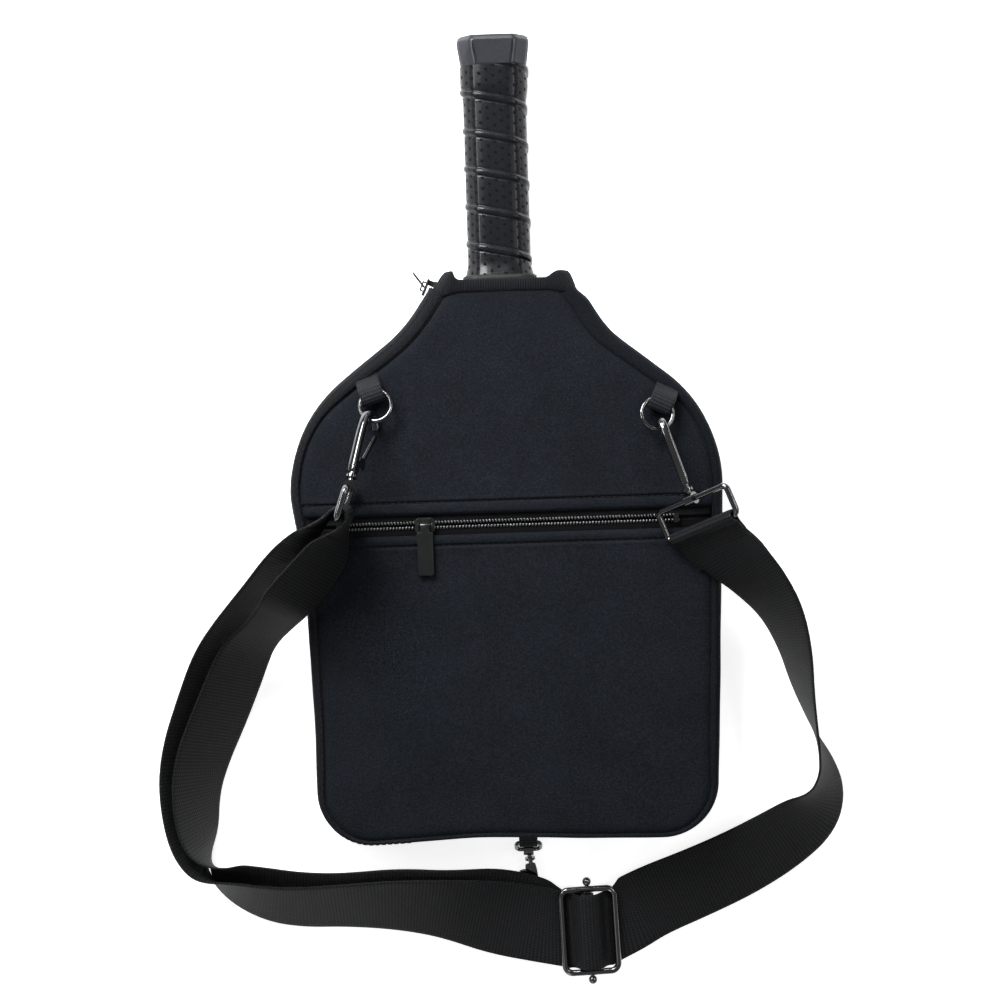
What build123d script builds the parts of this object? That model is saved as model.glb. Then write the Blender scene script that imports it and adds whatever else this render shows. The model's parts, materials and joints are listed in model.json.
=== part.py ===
"""Sling case for a racket-sport paddle, with the paddle in it and its shoulder strap laid out.

The case lies on its back panel. X runs to the right, Y from the bottom of the case towards the
handle, Z up from the floor, and the origin is on the back panel's outer face. Millimetres.
"""
import os
from math import asin, cos, degrees, radians, sin

from build123d import *

os.makedirs("parts", exist_ok=True)

# ---------------------------------------------------------------- driving dimensions
# Case outline: half of it, from the bottom corner up to the neck
NECK_Y = 148.0
BOTTOM_Y = -139.0
SHOULDER_CENTRE = Vector(37.5, 42.0)
SHOULDER_R = 72.0
SHOULDER_RUN = 30.0
SIDE_LEAN = 2.2
SHOULDER_SLOPE = 38.2
NECK_R = 73.6
CORNER_R = 29.0
SEAM_INSET = 6.3

# Layers of the case, from the floor up
BACK_TOP = 3.0
WALL_TOP = 27.0
LINING_TOP = 28.2
TAPE_Z = 29.5
TAPE_T = 0.6
PANEL_Z = 30.3
PANEL_TOP = 33.1
WALL_T = 3.0
TAPE_WALL_T = 2.0
ZIP_MID_Z = 15.0
ZIP_END_X = -60.0
BINDING_W = 6.0
NECK_BELOW = NECK_Y - BINDING_W

# Front pocket and its zip
POCKET_ZIP_Y = 25.0
POCKET_OPENING = 10.2
POCKET_CHAIN_HALF = 88.0
POCKET_SLIDER_X = -41.7
ROW_W = 2.0

# Webbing and metal fittings
STRAP_W = 40.0
STRAP_T = 1.5
WIRE_D = 3.2
RING_WIRE_D = 2.3
RING_TILT = 15.0
TAB_T = 1.2
LOOP_INNER_W = 41.5
LOOP_PITCH = 15.5
HOOK_T = 3.0

# Paddle
PADDLE_Z = 16.0
CORE_T = 13.0
FACE_T = 1.0
HEAD_HALF_W = 98.0
HEAD_BOTTOM_Y = -133.0
GRIP_START_Y = 144.0
BUTT_Y = 270.0
GRIP_W = 32.0
GRIP_D = 26.0


def save(piece, name):
    """Label a finished piece and write it as its own STEP file."""
    piece.part.label = name
    export_step(piece.part, f"parts/{name}.step")


def case_face(plane, inset=0.0, top=NECK_BELOW, bottom=-200.0):
    """The case's outline, drawn inset from the outer line and cut straight across at top and bottom."""
    with BuildSketch(plane) as face:
        with BuildLine():
            shoulder = CenterArc(SHOULDER_CENTRE, SHOULDER_R, -SIDE_LEAN, 90 + SIDE_LEAN - SHOULDER_SLOPE)
            run = Line(shoulder @ 1, (shoulder @ 1) + (shoulder % 1) * SHOULDER_RUN)
            neck = CenterArc(neck_centre(1), NECK_R, 270 - SHOULDER_SLOPE, -38)
            Line(neck @ 1, (0, (neck @ 1).Y))
            corner_x = (shoulder @ 0).X - ((shoulder @ 0).Y - BOTTOM_Y) * sin(radians(SIDE_LEAN))
            FilletPolyline(shoulder @ 0, (corner_x, BOTTOM_Y), (0, BOTTOM_Y), radius=CORNER_R)
            mirror(about=Plane.YZ)
        make_face()
        if inset:
            offset(amount=-inset)
        with Locations((0, (top + bottom) / 2)):
            Rectangle(400, top - bottom, mode=Mode.INTERSECT)
    return face.sketch


def neck_centre(side):
    """Centre of the concave neck curve; side is 1 on the right and -1 on the left."""
    slope = radians(SHOULDER_SLOPE)
    end = SHOULDER_CENTRE + Vector(sin(slope), cos(slope)) * SHOULDER_R
    start = end + Vector(-cos(slope), sin(slope)) * SHOULDER_RUN
    centre = start + Vector(sin(slope), cos(slope)) * NECK_R
    return Vector(side * centre.X, centre.Y)


def zip_side(plane):
    """The part of the wall that the main zip opens: the left side, as far as the bottom."""
    with BuildSketch(plane) as area:
        with Locations((-80, 10)):
            Rectangle(120, 290)
        with Locations((ZIP_END_X + 25, -145)):
            Rectangle(50, 40, mode=Mode.SUBTRACT)
    return area.sketch


def direction(azimuth, climb=0.0):
    """Unit vector at an azimuth from +X, rising by climb degrees."""
    flat = cos(radians(climb))
    return Vector(flat * cos(radians(azimuth)), flat * sin(radians(azimuth)), sin(radians(climb)))


# ---------------------------------------------------------------- case shell
with BuildPart() as back_panel:
    extrude(case_face(Plane.XY), amount=BACK_TOP)
save(back_panel, "back_panel")

with BuildPart() as gusset:
    low = Plane.XY.offset(BACK_TOP)
    extrude(case_face(low), amount=WALL_TOP - BACK_TOP)
    extrude(case_face(low, WALL_T, NECK_Y), amount=WALL_TOP - BACK_TOP, mode=Mode.SUBTRACT)
    extrude(zip_side(low), amount=WALL_TOP - BACK_TOP, mode=Mode.SUBTRACT)
save(gusset, "gusset")

# Each tape runs on past the wall's top in the binding's gap, to hold the slider when the zip is shut
TAPE_EDGE = 1.0
GAP_HALF_H = 4.5
GAP_CLEARANCE = 0.2
TAPES = {
    "zip_tape_back": (BACK_TOP, ZIP_MID_Z - TAPE_EDGE),
    "zip_tape_front": (ZIP_MID_Z + TAPE_EDGE, WALL_TOP),
}
for tape_name, (z_low, z_high) in TAPES.items():
    with BuildPart() as zip_tape:
        low = Plane.XY.offset(z_low)
        extrude(case_face(low), amount=z_high - z_low)
        gap_low = max(z_low, ZIP_MID_Z - GAP_HALF_H + GAP_CLEARANCE)
        gap_high = min(z_high, ZIP_MID_Z + GAP_HALF_H - GAP_CLEARANCE)
        extrude(case_face(Plane.XY.offset(gap_low), 0.0, NECK_Y), amount=gap_high - gap_low)
        extrude(case_face(low, TAPE_WALL_T, NECK_Y), amount=z_high - z_low, mode=Mode.SUBTRACT)
        extrude(zip_side(low), amount=z_high - z_low, mode=Mode.INTERSECT)
    save(zip_tape, tape_name)

# The closed coil: two rows that meet in the middle of the wall, from below the slider to the bottom
ROW_T = 0.8
ROW_GAP = 0.1
SLIDER_Y = 141.5
with BuildPart() as main_zip_coil:
    low = Plane.XY.offset(ZIP_MID_Z - ROW_GAP - ROW_T)
    middle = Plane.XY.offset(ZIP_MID_Z - ROW_GAP)
    both_rows = 2 * (ROW_T + ROW_GAP)
    extrude(case_face(low, 0.0, SLIDER_Y), amount=both_rows)
    extrude(case_face(low, TAPE_WALL_T, NECK_Y), amount=both_rows, mode=Mode.SUBTRACT)
    extrude(zip_side(low), amount=both_rows, mode=Mode.INTERSECT)
    extrude(zip_side(middle), amount=2 * ROW_GAP, mode=Mode.SUBTRACT)
save(main_zip_coil, "main_zip_coil")

# Metal end stop, clamped over the coil's last teeth under the bottom of the case
STOP_L = 2.6
STOP_T = 1.0
with BuildPart() as main_zip_stop:
    with BuildSketch(Plane.XY.offset(ZIP_MID_Z - 2.0)):
        with Locations((ZIP_END_X - STOP_L, BOTTOM_Y - STOP_T / 2 - 0.1)):
            Rectangle(STOP_L, STOP_T)
    extrude(amount=4.0)
save(main_zip_stop, "main_zip_stop")

# Lining: the wall between the paddle and the front pocket
with BuildPart() as front_lining:
    extrude(case_face(Plane.XY.offset(WALL_TOP)), amount=LINING_TOP - WALL_TOP)
save(front_lining, "front_lining")


OPEN_LOW = POCKET_ZIP_Y - POCKET_OPENING / 2
OPEN_HIGH = POCKET_ZIP_Y + POCKET_OPENING / 2
with BuildPart() as front_upper_panel:
    extrude(case_face(Plane.XY.offset(PANEL_Z), SEAM_INSET, bottom=OPEN_HIGH), amount=PANEL_TOP - PANEL_Z)
save(front_upper_panel, "front_upper_panel")

with BuildPart() as pocket_front_panel:
    extrude(case_face(Plane.XY.offset(PANEL_Z), SEAM_INSET, top=OPEN_LOW), amount=PANEL_TOP - PANEL_Z)
save(pocket_front_panel, "pocket_front_panel")

# Seam allowance that closes the pocket round its edge, between the lining and the outer panels
with BuildPart() as pocket_seam:
    low = Plane.XY.offset(LINING_TOP)
    extrude(case_face(low, SEAM_INSET), amount=PANEL_Z - LINING_TOP)
    inner = case_face(low, SEAM_INSET + 4.0, NECK_BELOW - 4.0)
    extrude(inner, amount=PANEL_Z - LINING_TOP, mode=Mode.SUBTRACT)
save(pocket_seam, "pocket_seam")

# Elastic binding round the mouth of the neck; it is open at the left, where the zip starts
MOUTH_HALF_W = 36.0
BINDING_TOP = 33.6
with BuildPart() as neck_binding:
    with BuildSketch(Plane.XZ.offset(-NECK_BELOW)):
        with Locations((0, BINDING_TOP / 2)):
            RectangleRounded(2 * MOUTH_HALF_W, BINDING_TOP, 8.0)
            RectangleRounded(2 * MOUTH_HALF_W - 5.0, BINDING_TOP - 3.4, 6.6, mode=Mode.SUBTRACT)
        with Locations((-MOUTH_HALF_W, ZIP_MID_Z)):
            Rectangle(8.0, 2 * GAP_HALF_H, mode=Mode.SUBTRACT)
    extrude(amount=-BINDING_W)
save(neck_binding, "neck_binding")

# ---------------------------------------------------------------- main zip slider, on the neck curve
ARC_CENTRE = neck_centre(-1)
MAIN_SLIDER_L = 9.0
SLIDER_ANGLE = degrees(asin((SLIDER_Y + 3.5 - ARC_CENTRE.Y) / NECK_R))
SLIDER_SPAN = degrees(MAIN_SLIDER_L / NECK_R)


def arc_plate(r_in, r_out, centre_angle, span, z_low, z_high):
    """A plate that follows the neck curve between two radii about the curve's centre."""
    with BuildSketch(Plane.XY.offset(z_low)) as sector:
        with BuildLine():
            outer = CenterArc(ARC_CENTRE, r_out, centre_angle - span / 2, span)
            inner = CenterArc(ARC_CENTRE, r_in, centre_angle - span / 2, span)
            Line(outer @ 0, inner @ 0)
            Line(outer @ 1, inner @ 1)
        make_face()
    return extrude(sector.sketch, amount=z_high - z_low, mode=Mode.PRIVATE)


# Each plate: inner and outer radius past the neck curve, middle and length as parts of the slider's
# own length, and half its height
SLIDER_PLATES = [
    (-1.7, -0.7, 0.0, 1.0, 4.0),
    (2.4, 3.2, 0.0, 1.0, 4.0),
    (-0.8, 2.5, 0.32, 0.3, 0.6),
    (-3.9, -3.2, 0.0, 0.6, 0.6),
    (-3.3, -1.6, -0.26, 0.08, 0.6),
    (-3.3, -1.6, 0.26, 0.08, 0.6),
]
with BuildPart() as main_zip_slider:
    for r_in, r_out, middle, length, half_h in SLIDER_PLATES:
        plate_angle = SLIDER_ANGLE + middle * SLIDER_SPAN
        plate_span = length * SLIDER_SPAN
        z_low = ZIP_MID_Z - half_h
        add(arc_plate(NECK_R + r_in, NECK_R + r_out, plate_angle, plate_span, z_low, z_low + 2 * half_h))
save(main_zip_slider, "main_zip_slider")

# Wire puller: a short loop through the slider's bridge, standing out from the case
PULLER_PIVOT = ARC_CENTRE + direction(SLIDER_ANGLE) * (NECK_R - 2.45)
PULLER_REACH = direction(SLIDER_ANGLE + 150)
PULL_L = 9.6
PULL_W = 6.4
PULL_WIRE = 1.0
with BuildPart() as main_zip_puller:
    pull_plane = Plane(
        origin=(PULLER_PIVOT.X, PULLER_PIVOT.Y, ZIP_MID_Z),
        x_dir=PULLER_REACH,
        z_dir=PULLER_REACH.cross(Vector(0, 0, 1)),
    )
    with BuildSketch(pull_plane.offset(-PULL_WIRE / 2)):
        with Locations(((PULL_L - PULL_WIRE) / 2, 0)):
            RectangleRounded(PULL_L, PULL_W, 1.2)
            Rectangle(PULL_L - 2 * PULL_WIRE, PULL_W - 2 * PULL_WIRE, mode=Mode.SUBTRACT)
    extrude(amount=PULL_WIRE)
save(main_zip_puller, "main_zip_puller")

# ---------------------------------------------------------------- front pocket zip
CHAIN_LEN = 2 * POCKET_CHAIN_HALF
TAPE_GAP = 1.6
TAPE_W = 8.0
for side, tape_name in ((1, "pocket_tape_upper"), (-1, "pocket_tape_lower")):
    with BuildPart() as pocket_tape:
        with BuildSketch(Plane.XY.offset(TAPE_Z)):
            with Locations((0, POCKET_ZIP_Y + side * (TAPE_GAP + TAPE_W) / 2)):
                Rectangle(CHAIN_LEN, TAPE_W)
        extrude(amount=TAPE_T)
    save(pocket_tape, tape_name)

# Coil rows: they meet to the right of the slider and spread apart to the left of it
ROW_H = 1.7
ROW_MET = 0.1
ROW_SPREAD = 0.8
for side, row_name in ((1, "pocket_coil_upper"), (-1, "pocket_coil_lower")):
    with BuildPart() as pocket_coil:
        split_x = POCKET_SLIDER_X - 1.0
        spans = ((split_x, POCKET_CHAIN_HALF, ROW_MET), (-POCKET_CHAIN_HALF, split_x, ROW_SPREAD))
        with BuildSketch(Plane.XY.offset(TAPE_Z + TAPE_T)):
            for x_low, x_high, gap in spans:
                with Locations(((x_low + x_high) / 2, POCKET_ZIP_Y + side * (gap + ROW_W / 2))):
                    Rectangle(x_high - x_low, ROW_W)
        extrude(amount=ROW_H)
    save(pocket_coil, row_name)

POCKET_STOP_X = 85.0
with BuildPart() as pocket_zip_stops:
    with BuildSketch(Plane.XY.offset(TAPE_Z + TAPE_T + ROW_H + 0.1)):
        with Locations((-POCKET_STOP_X, POCKET_ZIP_Y), (POCKET_STOP_X, POCKET_ZIP_Y)):
            Rectangle(2.6, 4.6)
    extrude(amount=0.7)
save(pocket_zip_stops, "pocket_zip_stops")

# Slider: upper and lower plates on a post, rounded cheeks, and a bridge for the puller
SLIDER_L = 10.0
SLIDER_W = 7.6
SLIDER_TOP = 33.3
CROWN_R = 0.6
CROWN_Z = SLIDER_TOP + 1.6
CROWN_HALF_L = 3.4


def crown_plane(half_length):
    """Plane across the slider's crown bar, half_length to the left of the slider's middle."""
    origin = (POCKET_SLIDER_X - half_length, POCKET_ZIP_Y, CROWN_Z)
    return Plane(origin=origin, x_dir=(0, 1, 0), z_dir=(1, 0, 0))


with BuildPart() as pocket_zip_slider:
    with BuildSketch(Plane.XY.offset(SLIDER_TOP - 0.9)):
        with Locations((POCKET_SLIDER_X, POCKET_ZIP_Y)):
            RectangleRounded(SLIDER_L, SLIDER_W, 2.0)
    extrude(amount=0.9)
    with BuildSketch(Plane.XY.offset(LINING_TOP + 0.2)):
        with Locations((POCKET_SLIDER_X, POCKET_ZIP_Y)):
            RectangleRounded(SLIDER_L, SLIDER_W, 2.0)
    extrude(amount=0.8)
    with BuildSketch(Plane.XY.offset(LINING_TOP + 0.6)):
        with Locations((POCKET_SLIDER_X - SLIDER_L / 2 + 1.8, POCKET_ZIP_Y)):
            Rectangle(2.4, 1.0)
    extrude(amount=SLIDER_TOP - LINING_TOP - 1.0)
    for end in (-1, 1):
        with BuildSketch(Plane.XY.offset(SLIDER_TOP - 0.2)):
            with Locations((POCKET_SLIDER_X + end * 3.3, POCKET_ZIP_Y)):
                Rectangle(0.9, 1.8)
        extrude(amount=CROWN_Z + CROWN_R - SLIDER_TOP + 0.2)
    with BuildSketch(crown_plane(CROWN_HALF_L)):
        Circle(CROWN_R)
    extrude(amount=2 * CROWN_HALF_L)
save(pocket_zip_slider, "pocket_zip_slider")

# Puller: a flat metal bar with an eye round the slider's crown
EYE_R = 1.4
EYE_L = 4.6
BAR_L = 22.0
BAR_W = 8.0
BAR_T = 1.9
BAR_Z = PANEL_TOP + 0.5
BAR_START = 3.2
with BuildPart() as pocket_zip_puller:
    with BuildSketch(Plane.XY.offset(BAR_Z)):
        with Locations((POCKET_SLIDER_X, POCKET_ZIP_Y - BAR_START - BAR_L / 2)):
            RectangleRounded(BAR_W, BAR_L, 1.2)
    extrude(amount=BAR_T)
    with BuildSketch(Plane.XY.offset(CROWN_Z - 0.6)):
        with Locations((POCKET_SLIDER_X, POCKET_ZIP_Y - BAR_START)):
            Rectangle(EYE_L, 2 * BAR_START)
    extrude(amount=1.2)
    with BuildSketch(crown_plane(EYE_L / 2)):
        Circle(EYE_R)
    extrude(amount=EYE_L)
    with BuildSketch(crown_plane(EYE_L / 2)):
        Circle(CROWN_R + 0.2)
    extrude(amount=EYE_L, mode=Mode.SUBTRACT)
save(pocket_zip_puller, "pocket_zip_puller")

# ---------------------------------------------------------------- rings and their webbing tabs
# Each ring lies in its tab's fold, a little raised on the side that the hook pulls
RING_D = 18.0
RING_R = (RING_D - RING_WIRE_D) / 2
TAB_W = 12.0
TAB_L = 10.0
TAB_RUN = 2.9
TAB_CAVITY = 4.2
FOLD_Z = PANEL_TOP + 0.1 + TAB_T + TAB_CAVITY / 2
# side: middle of the ring's wire in the fold, and the azimuth from the fold to the ring's centre
FOLDS = {
    "left": (Vector(-66.4, 93.2, FOLD_Z), -72.0),
    "right": (Vector(79.6, 84.5, FOLD_Z), -115.5),
}
RING_CENTRES = {}
for side_name, (fold, azimuth) in FOLDS.items():
    RING_CENTRES[side_name] = fold + direction(azimuth, RING_TILT) * RING_R


def fold_tab(fold, azimuth, length, width, foot):
    """A webbing strip folded round a wire at fold; foot is how far its sewn end drops below."""
    inner = TAB_CAVITY / 2
    outer = inner + TAB_T
    profile = Plane(origin=fold, x_dir=direction(azimuth), z_dir=direction(azimuth - 90))
    with BuildPart() as tab:
        with BuildSketch(profile.offset(-width / 2)):
            with BuildLine():
                Line((-length, outer), (TAB_RUN, outer))
                ThreePointArc((TAB_RUN, outer), (TAB_RUN + outer, 0), (TAB_RUN, -outer))
                Line((TAB_RUN, -outer), (-length + 3, -outer))
                Line((-length + 3, -outer), (-length, -foot))
                Line((-length, -foot), (-length, outer))
            make_face()
            with BuildLine():
                Line((-length + 4, inner), (TAB_RUN, inner))
                ThreePointArc((TAB_RUN, inner), (TAB_RUN + inner, 0), (TAB_RUN, -inner))
                Line((TAB_RUN, -inner), (-length + 4, -inner))
                Line((-length + 4, -inner), (-length + 4, inner))
            make_face(mode=Mode.SUBTRACT)
        extrude(amount=width)
    return tab


for side_name, (fold, azimuth) in FOLDS.items():
    centre = RING_CENTRES[side_name]
    across = direction(azimuth - 90)
    in_plane = direction(azimuth, RING_TILT)
    with BuildPart() as ring:
        with BuildSketch(Plane(origin=centre, x_dir=in_plane, z_dir=across)):
            with Locations((RING_R, 0)):
                Circle(RING_WIRE_D / 2)
        revolve(axis=Axis(centre, across.cross(in_plane)))
    save(ring, f"{side_name}_ring")
    tab = fold_tab(fold, azimuth, TAB_L, TAB_W, FOLD_Z - PANEL_TOP)
    save(tab, f"{side_name}_tab")

# ---------------------------------------------------------------- snap hooks and strap loops
# The hook's own plane: u runs from the swivel to the tip, v from the back bar to the gate
HOOK_LINE = [(3.0, -0.8), (31.5, -0.8), (36.4, 3.6), (35.4, 8.6), (29.2, 12.2)]
HOOK_RADII = [4.0, 3.2, 3.2]
HOOK_WIRE_W = 3.0
CROSSING_U = 32.0
CROSSING_MID_V = 4.9
CROSSING_LOW_V = 7.0
PIVOT_UV = (8.0, 5.2)
GATE_TIP_UV = (27.2, 12.4)
GATE_W = 2.6
GATE_T = 1.5
PIN_R = 0.8
BASE_UV = (5.4, 2.0)
BASE_SIZE = (7.4, 8.6)
SWIVEL_R = 1.2
STEM_BORE = 4.2
BAR_U = -6.0


class Clip:
    """Where one snap hook sits in the case's frame."""

    def __init__(self, u, v, swivel):
        self.u = u
        self.v = v
        self.w = u.cross(v)
        self.swivel = swivel
        self.plane = Plane(origin=swivel, x_dir=u, z_dir=self.w)

    def at(self, along, across=0.0):
        """A point of the hook's own plane."""
        return self.swivel + self.u * along + self.v * across


def ring_clip(side, azimuth, dip, roll, across, toward):
    """Clip whose bow goes round a ring's wire, at the azimuth toward which the wire is pulled."""
    u = direction(azimuth, -dip)
    right_hand = direction(azimuth - 90)
    lift = right_hand.cross(u)
    v = right_hand * cos(radians(roll)) - lift * sin(radians(roll))
    fold, tab_azimuth = FOLDS[side]
    climb = sin(radians(RING_TILT)) * cos(radians(toward - tab_azimuth))
    wire = RING_CENTRES[side] + (direction(toward) + Vector(0, 0, climb)) * RING_R
    return Clip(u, v, wire - u * CROSSING_U - v * across)


CLIPS = {
    "left": ring_clip("left", 77.0, 24.0, 58.0, CROSSING_MID_V, -110.7),
    "right": ring_clip("right", 108.5, 5.0, 90.0, CROSSING_LOW_V, -69.7),
    "bottom": Clip(direction(-82.0, -2.0), direction(-172.0), Vector(6.5, -154.0, 3.2)),
}
for side_name, clip in CLIPS.items():
    with BuildPart() as hook_body:
        with BuildSketch(clip.plane.offset(-HOOK_T / 2)):
            with BuildLine():
                FilletPolyline(*HOOK_LINE, radius=HOOK_RADII)
            trace(line_width=HOOK_WIRE_W)
            with Locations(BASE_UV):
                RectangleRounded(*BASE_SIZE, 2.0)
        extrude(amount=HOOK_T)
        with BuildSketch(clip.plane.offset(-GATE_T / 2 - 0.2)):
            with Locations((PIVOT_UV[0] + 1.2, PIVOT_UV[1] + 1.2)):
                Rectangle(6.4, 7.0)
        extrude(amount=GATE_T + 0.4, mode=Mode.SUBTRACT)
        with BuildSketch(clip.plane.offset(-HOOK_T)):
            with Locations(PIVOT_UV):
                Circle(PIN_R + 0.02)
        extrude(amount=2 * HOOK_T, mode=Mode.SUBTRACT)
        with BuildSketch(Plane(origin=clip.swivel, x_dir=clip.v, z_dir=clip.u)):
            Circle(SWIVEL_R + 0.1)
        extrude(amount=STEM_BORE, mode=Mode.SUBTRACT)
    save(hook_body, f"{side_name}_hook_body")

    with BuildPart() as hook_gate:
        with BuildSketch(clip.plane.offset(-GATE_T / 2)):
            with BuildLine():
                Line(PIVOT_UV, GATE_TIP_UV)
            trace(line_width=GATE_W)
            with Locations(PIVOT_UV):
                Circle(GATE_W / 2)
                Circle(PIN_R + 0.06, mode=Mode.SUBTRACT)
        extrude(amount=GATE_T)
    save(hook_gate, f"{side_name}_hook_gate")

    with BuildPart() as gate_pin:
        with BuildSketch(clip.plane.offset(-HOOK_T / 2 - 0.3)):
            with Locations(PIVOT_UV):
                Circle(PIN_R)
        extrude(amount=HOOK_T + 0.6)
    save(gate_pin, f"{side_name}_gate_pin")

    # Leaf spring that holds the gate against the nose, in the base's slot behind the pin
    with BuildPart() as gate_spring:
        with BuildSketch(clip.plane.offset(-0.4)):
            with BuildLine():
                Line((PIVOT_UV[0] - 1.6, PIVOT_UV[1] - 1.9), (PIVOT_UV[0] + 3.4, PIVOT_UV[1] - 0.9))
            trace(line_width=0.3)
        extrude(amount=0.8)
    save(gate_spring, f"{side_name}_gate_spring")


BARREL_R = 3.1
BARREL_L = 5.2
COLLAR_U = -1.7
STEM_COLLAR_R = 2.7
STEM_COLLAR_T = 1.4
STEM_REACH = 4.0
BARREL_PLAY = 0.08


def swivel(clip, bar_dir, name):
    """Barrel round the loop's near bar, with a collar and a stem that turns in the hook's base."""
    hub = clip.at(BAR_U)
    with BuildPart() as stem:
        with BuildSketch(Plane(origin=hub, z_dir=bar_dir)):
            Circle(BARREL_R)
        extrude(amount=BARREL_L / 2, both=True)
        with BuildSketch(Plane(origin=hub, x_dir=clip.v, z_dir=clip.u)):
            Circle(SWIVEL_R)
        extrude(amount=STEM_REACH - BAR_U)
        with BuildSketch(Plane(origin=clip.at(COLLAR_U), x_dir=clip.v, z_dir=clip.u)):
            Circle(STEM_COLLAR_R)
        extrude(amount=STEM_COLLAR_T)
        with BuildSketch(Plane(origin=hub, z_dir=bar_dir)):
            Circle(WIRE_D / 2 + BARREL_PLAY)
        extrude(amount=BARREL_L, both=True, mode=Mode.SUBTRACT)
    save(stem, name)


def wire_loop(near, reach, across, length, width, corner, wire):
    """Rectangular wire loop: near is the middle of its near bar, and reach points to the far bar."""
    frame = Plane(origin=near + reach * (length / 2), x_dir=reach, z_dir=reach.cross(across))
    with BuildSketch(frame) as outline:
        RectangleRounded(length, width, corner)
    route = outline.sketch.face().outer_wire()
    with BuildPart() as loop:
        with BuildSketch(Plane(origin=route @ 0, z_dir=route % 0)):
            Circle(wire / 2)
        sweep(path=route)
    return loop


# Loops that carry the shoulder strap; the left one stands on edge, the right one leans
LOOP_W = LOOP_INNER_W + WIRE_D
LOOP_CORNER = 3.0
LOOPS = {
    "left": (direction(-108.8), Vector(0, 0, 1)),
    "right": (direction(-69.0, 5.5), direction(25.6, 40.0)),
}
FAR_BARS = {}
FAR_BAR_LINES = {}
for side_name, (reach, across) in LOOPS.items():
    clip = CLIPS[side_name]
    across = (across - reach * across.dot(reach)).normalized()
    FAR_BAR_LINES[side_name] = across
    swivel(clip, across, f"{side_name}_swivel")
    strap_loop = wire_loop(clip.at(BAR_U), reach, across, LOOP_PITCH, LOOP_W, LOOP_CORNER, WIRE_D)
    save(strap_loop, f"{side_name}_strap_loop")
    FAR_BARS[side_name] = clip.at(BAR_U) + reach * LOOP_PITCH

# Bottom clip: a small eye in a tab under the case; its hook lies free below the strap
EYE_PITCH = 7.4
EYE_W = 12.4
EYE_RISE = 50.0
EYE_TAB_W = 9.0
EYE_TAB_R = 2.6
bottom = CLIPS["bottom"]
eye_near = bottom.at(BAR_U)
eye_reach = direction(90.0, EYE_RISE)
eye_bar = eye_near + eye_reach * EYE_PITCH
swivel(bottom, Vector(1, 0, 0), "bottom_swivel")
save(wire_loop(eye_near, eye_reach, Vector(1, 0, 0), EYE_PITCH, EYE_W, 2.4, RING_WIRE_D), "bottom_eye")

with BuildPart() as bottom_tab:
    with BuildSketch(Plane(origin=(eye_bar.X - EYE_TAB_W / 2, 0, 0), x_dir=(0, 1, 0), z_dir=(1, 0, 0))):
        with Locations((eye_bar.Y, eye_bar.Z)):
            Circle(EYE_TAB_R)
        with Locations((BOTTOM_Y - 0.5, eye_bar.Z + 1.0)):
            Rectangle(1.0, 5.6)
        make_hull()
        with Locations((eye_bar.Y, eye_bar.Z)):
            Circle(RING_WIRE_D / 2 + 0.25, mode=Mode.SUBTRACT)
    extrude(amount=EYE_TAB_W)
save(bottom_tab, "bottom_tab")

# ---------------------------------------------------------------- tri-glide adjuster
GLIDE_CENTRE = Vector(36.2, -190.3, 10.2)
GLIDE_TURN = 2.1
GLIDE_W = 31.0
GLIDE_H = 47.0
GLIDE_WIRE = 3.3
GLIDE_STUD_R = 1.1
GLIDE_KNOB_R = 2.3
GLIDE_KNOB_Y = GLIDE_H / 2 + GLIDE_KNOB_R + 0.1
glide_x = direction(GLIDE_TURN)
glide_y = direction(GLIDE_TURN + 90)
glide_flat = Plane(origin=GLIDE_CENTRE, x_dir=glide_x, z_dir=(0, 0, 1))
glide_side = Plane(origin=GLIDE_CENTRE - glide_y * (STRAP_W / 2), x_dir=glide_x, z_dir=-glide_y)

with BuildPart() as triglide_bar:
    with BuildSketch(Plane(origin=GLIDE_CENTRE, z_dir=glide_y)):
        Circle(GLIDE_WIRE / 2)
    extrude(amount=GLIDE_H / 2 - GLIDE_WIRE - 0.1, both=True)
    with BuildSketch(Plane(origin=GLIDE_CENTRE, z_dir=glide_y)):
        Circle(GLIDE_STUD_R)
    extrude(amount=GLIDE_KNOB_Y, both=True)
    with Locations(GLIDE_CENTRE + glide_y * GLIDE_KNOB_Y, GLIDE_CENTRE - glide_y * GLIDE_KNOB_Y):
        Sphere(GLIDE_KNOB_R)
save(triglide_bar, "triglide_bar")

with BuildSketch(glide_flat) as frame_line:
    RectangleRounded(GLIDE_W - GLIDE_WIRE, GLIDE_H - GLIDE_WIRE, 4.0)
frame_route = frame_line.sketch.face().outer_wire()
with BuildPart() as triglide_frame:
    with BuildSketch(Plane(origin=frame_route @ 0, z_dir=frame_route % 0)):
        Circle(GLIDE_WIRE / 2)
    sweep(path=frame_route)
    with BuildSketch(Plane(origin=GLIDE_CENTRE, z_dir=glide_y)):
        Circle(GLIDE_STUD_R + 0.03)
    extrude(amount=GLIDE_H, both=True, mode=Mode.SUBTRACT)
save(triglide_frame, "triglide_frame")

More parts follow.
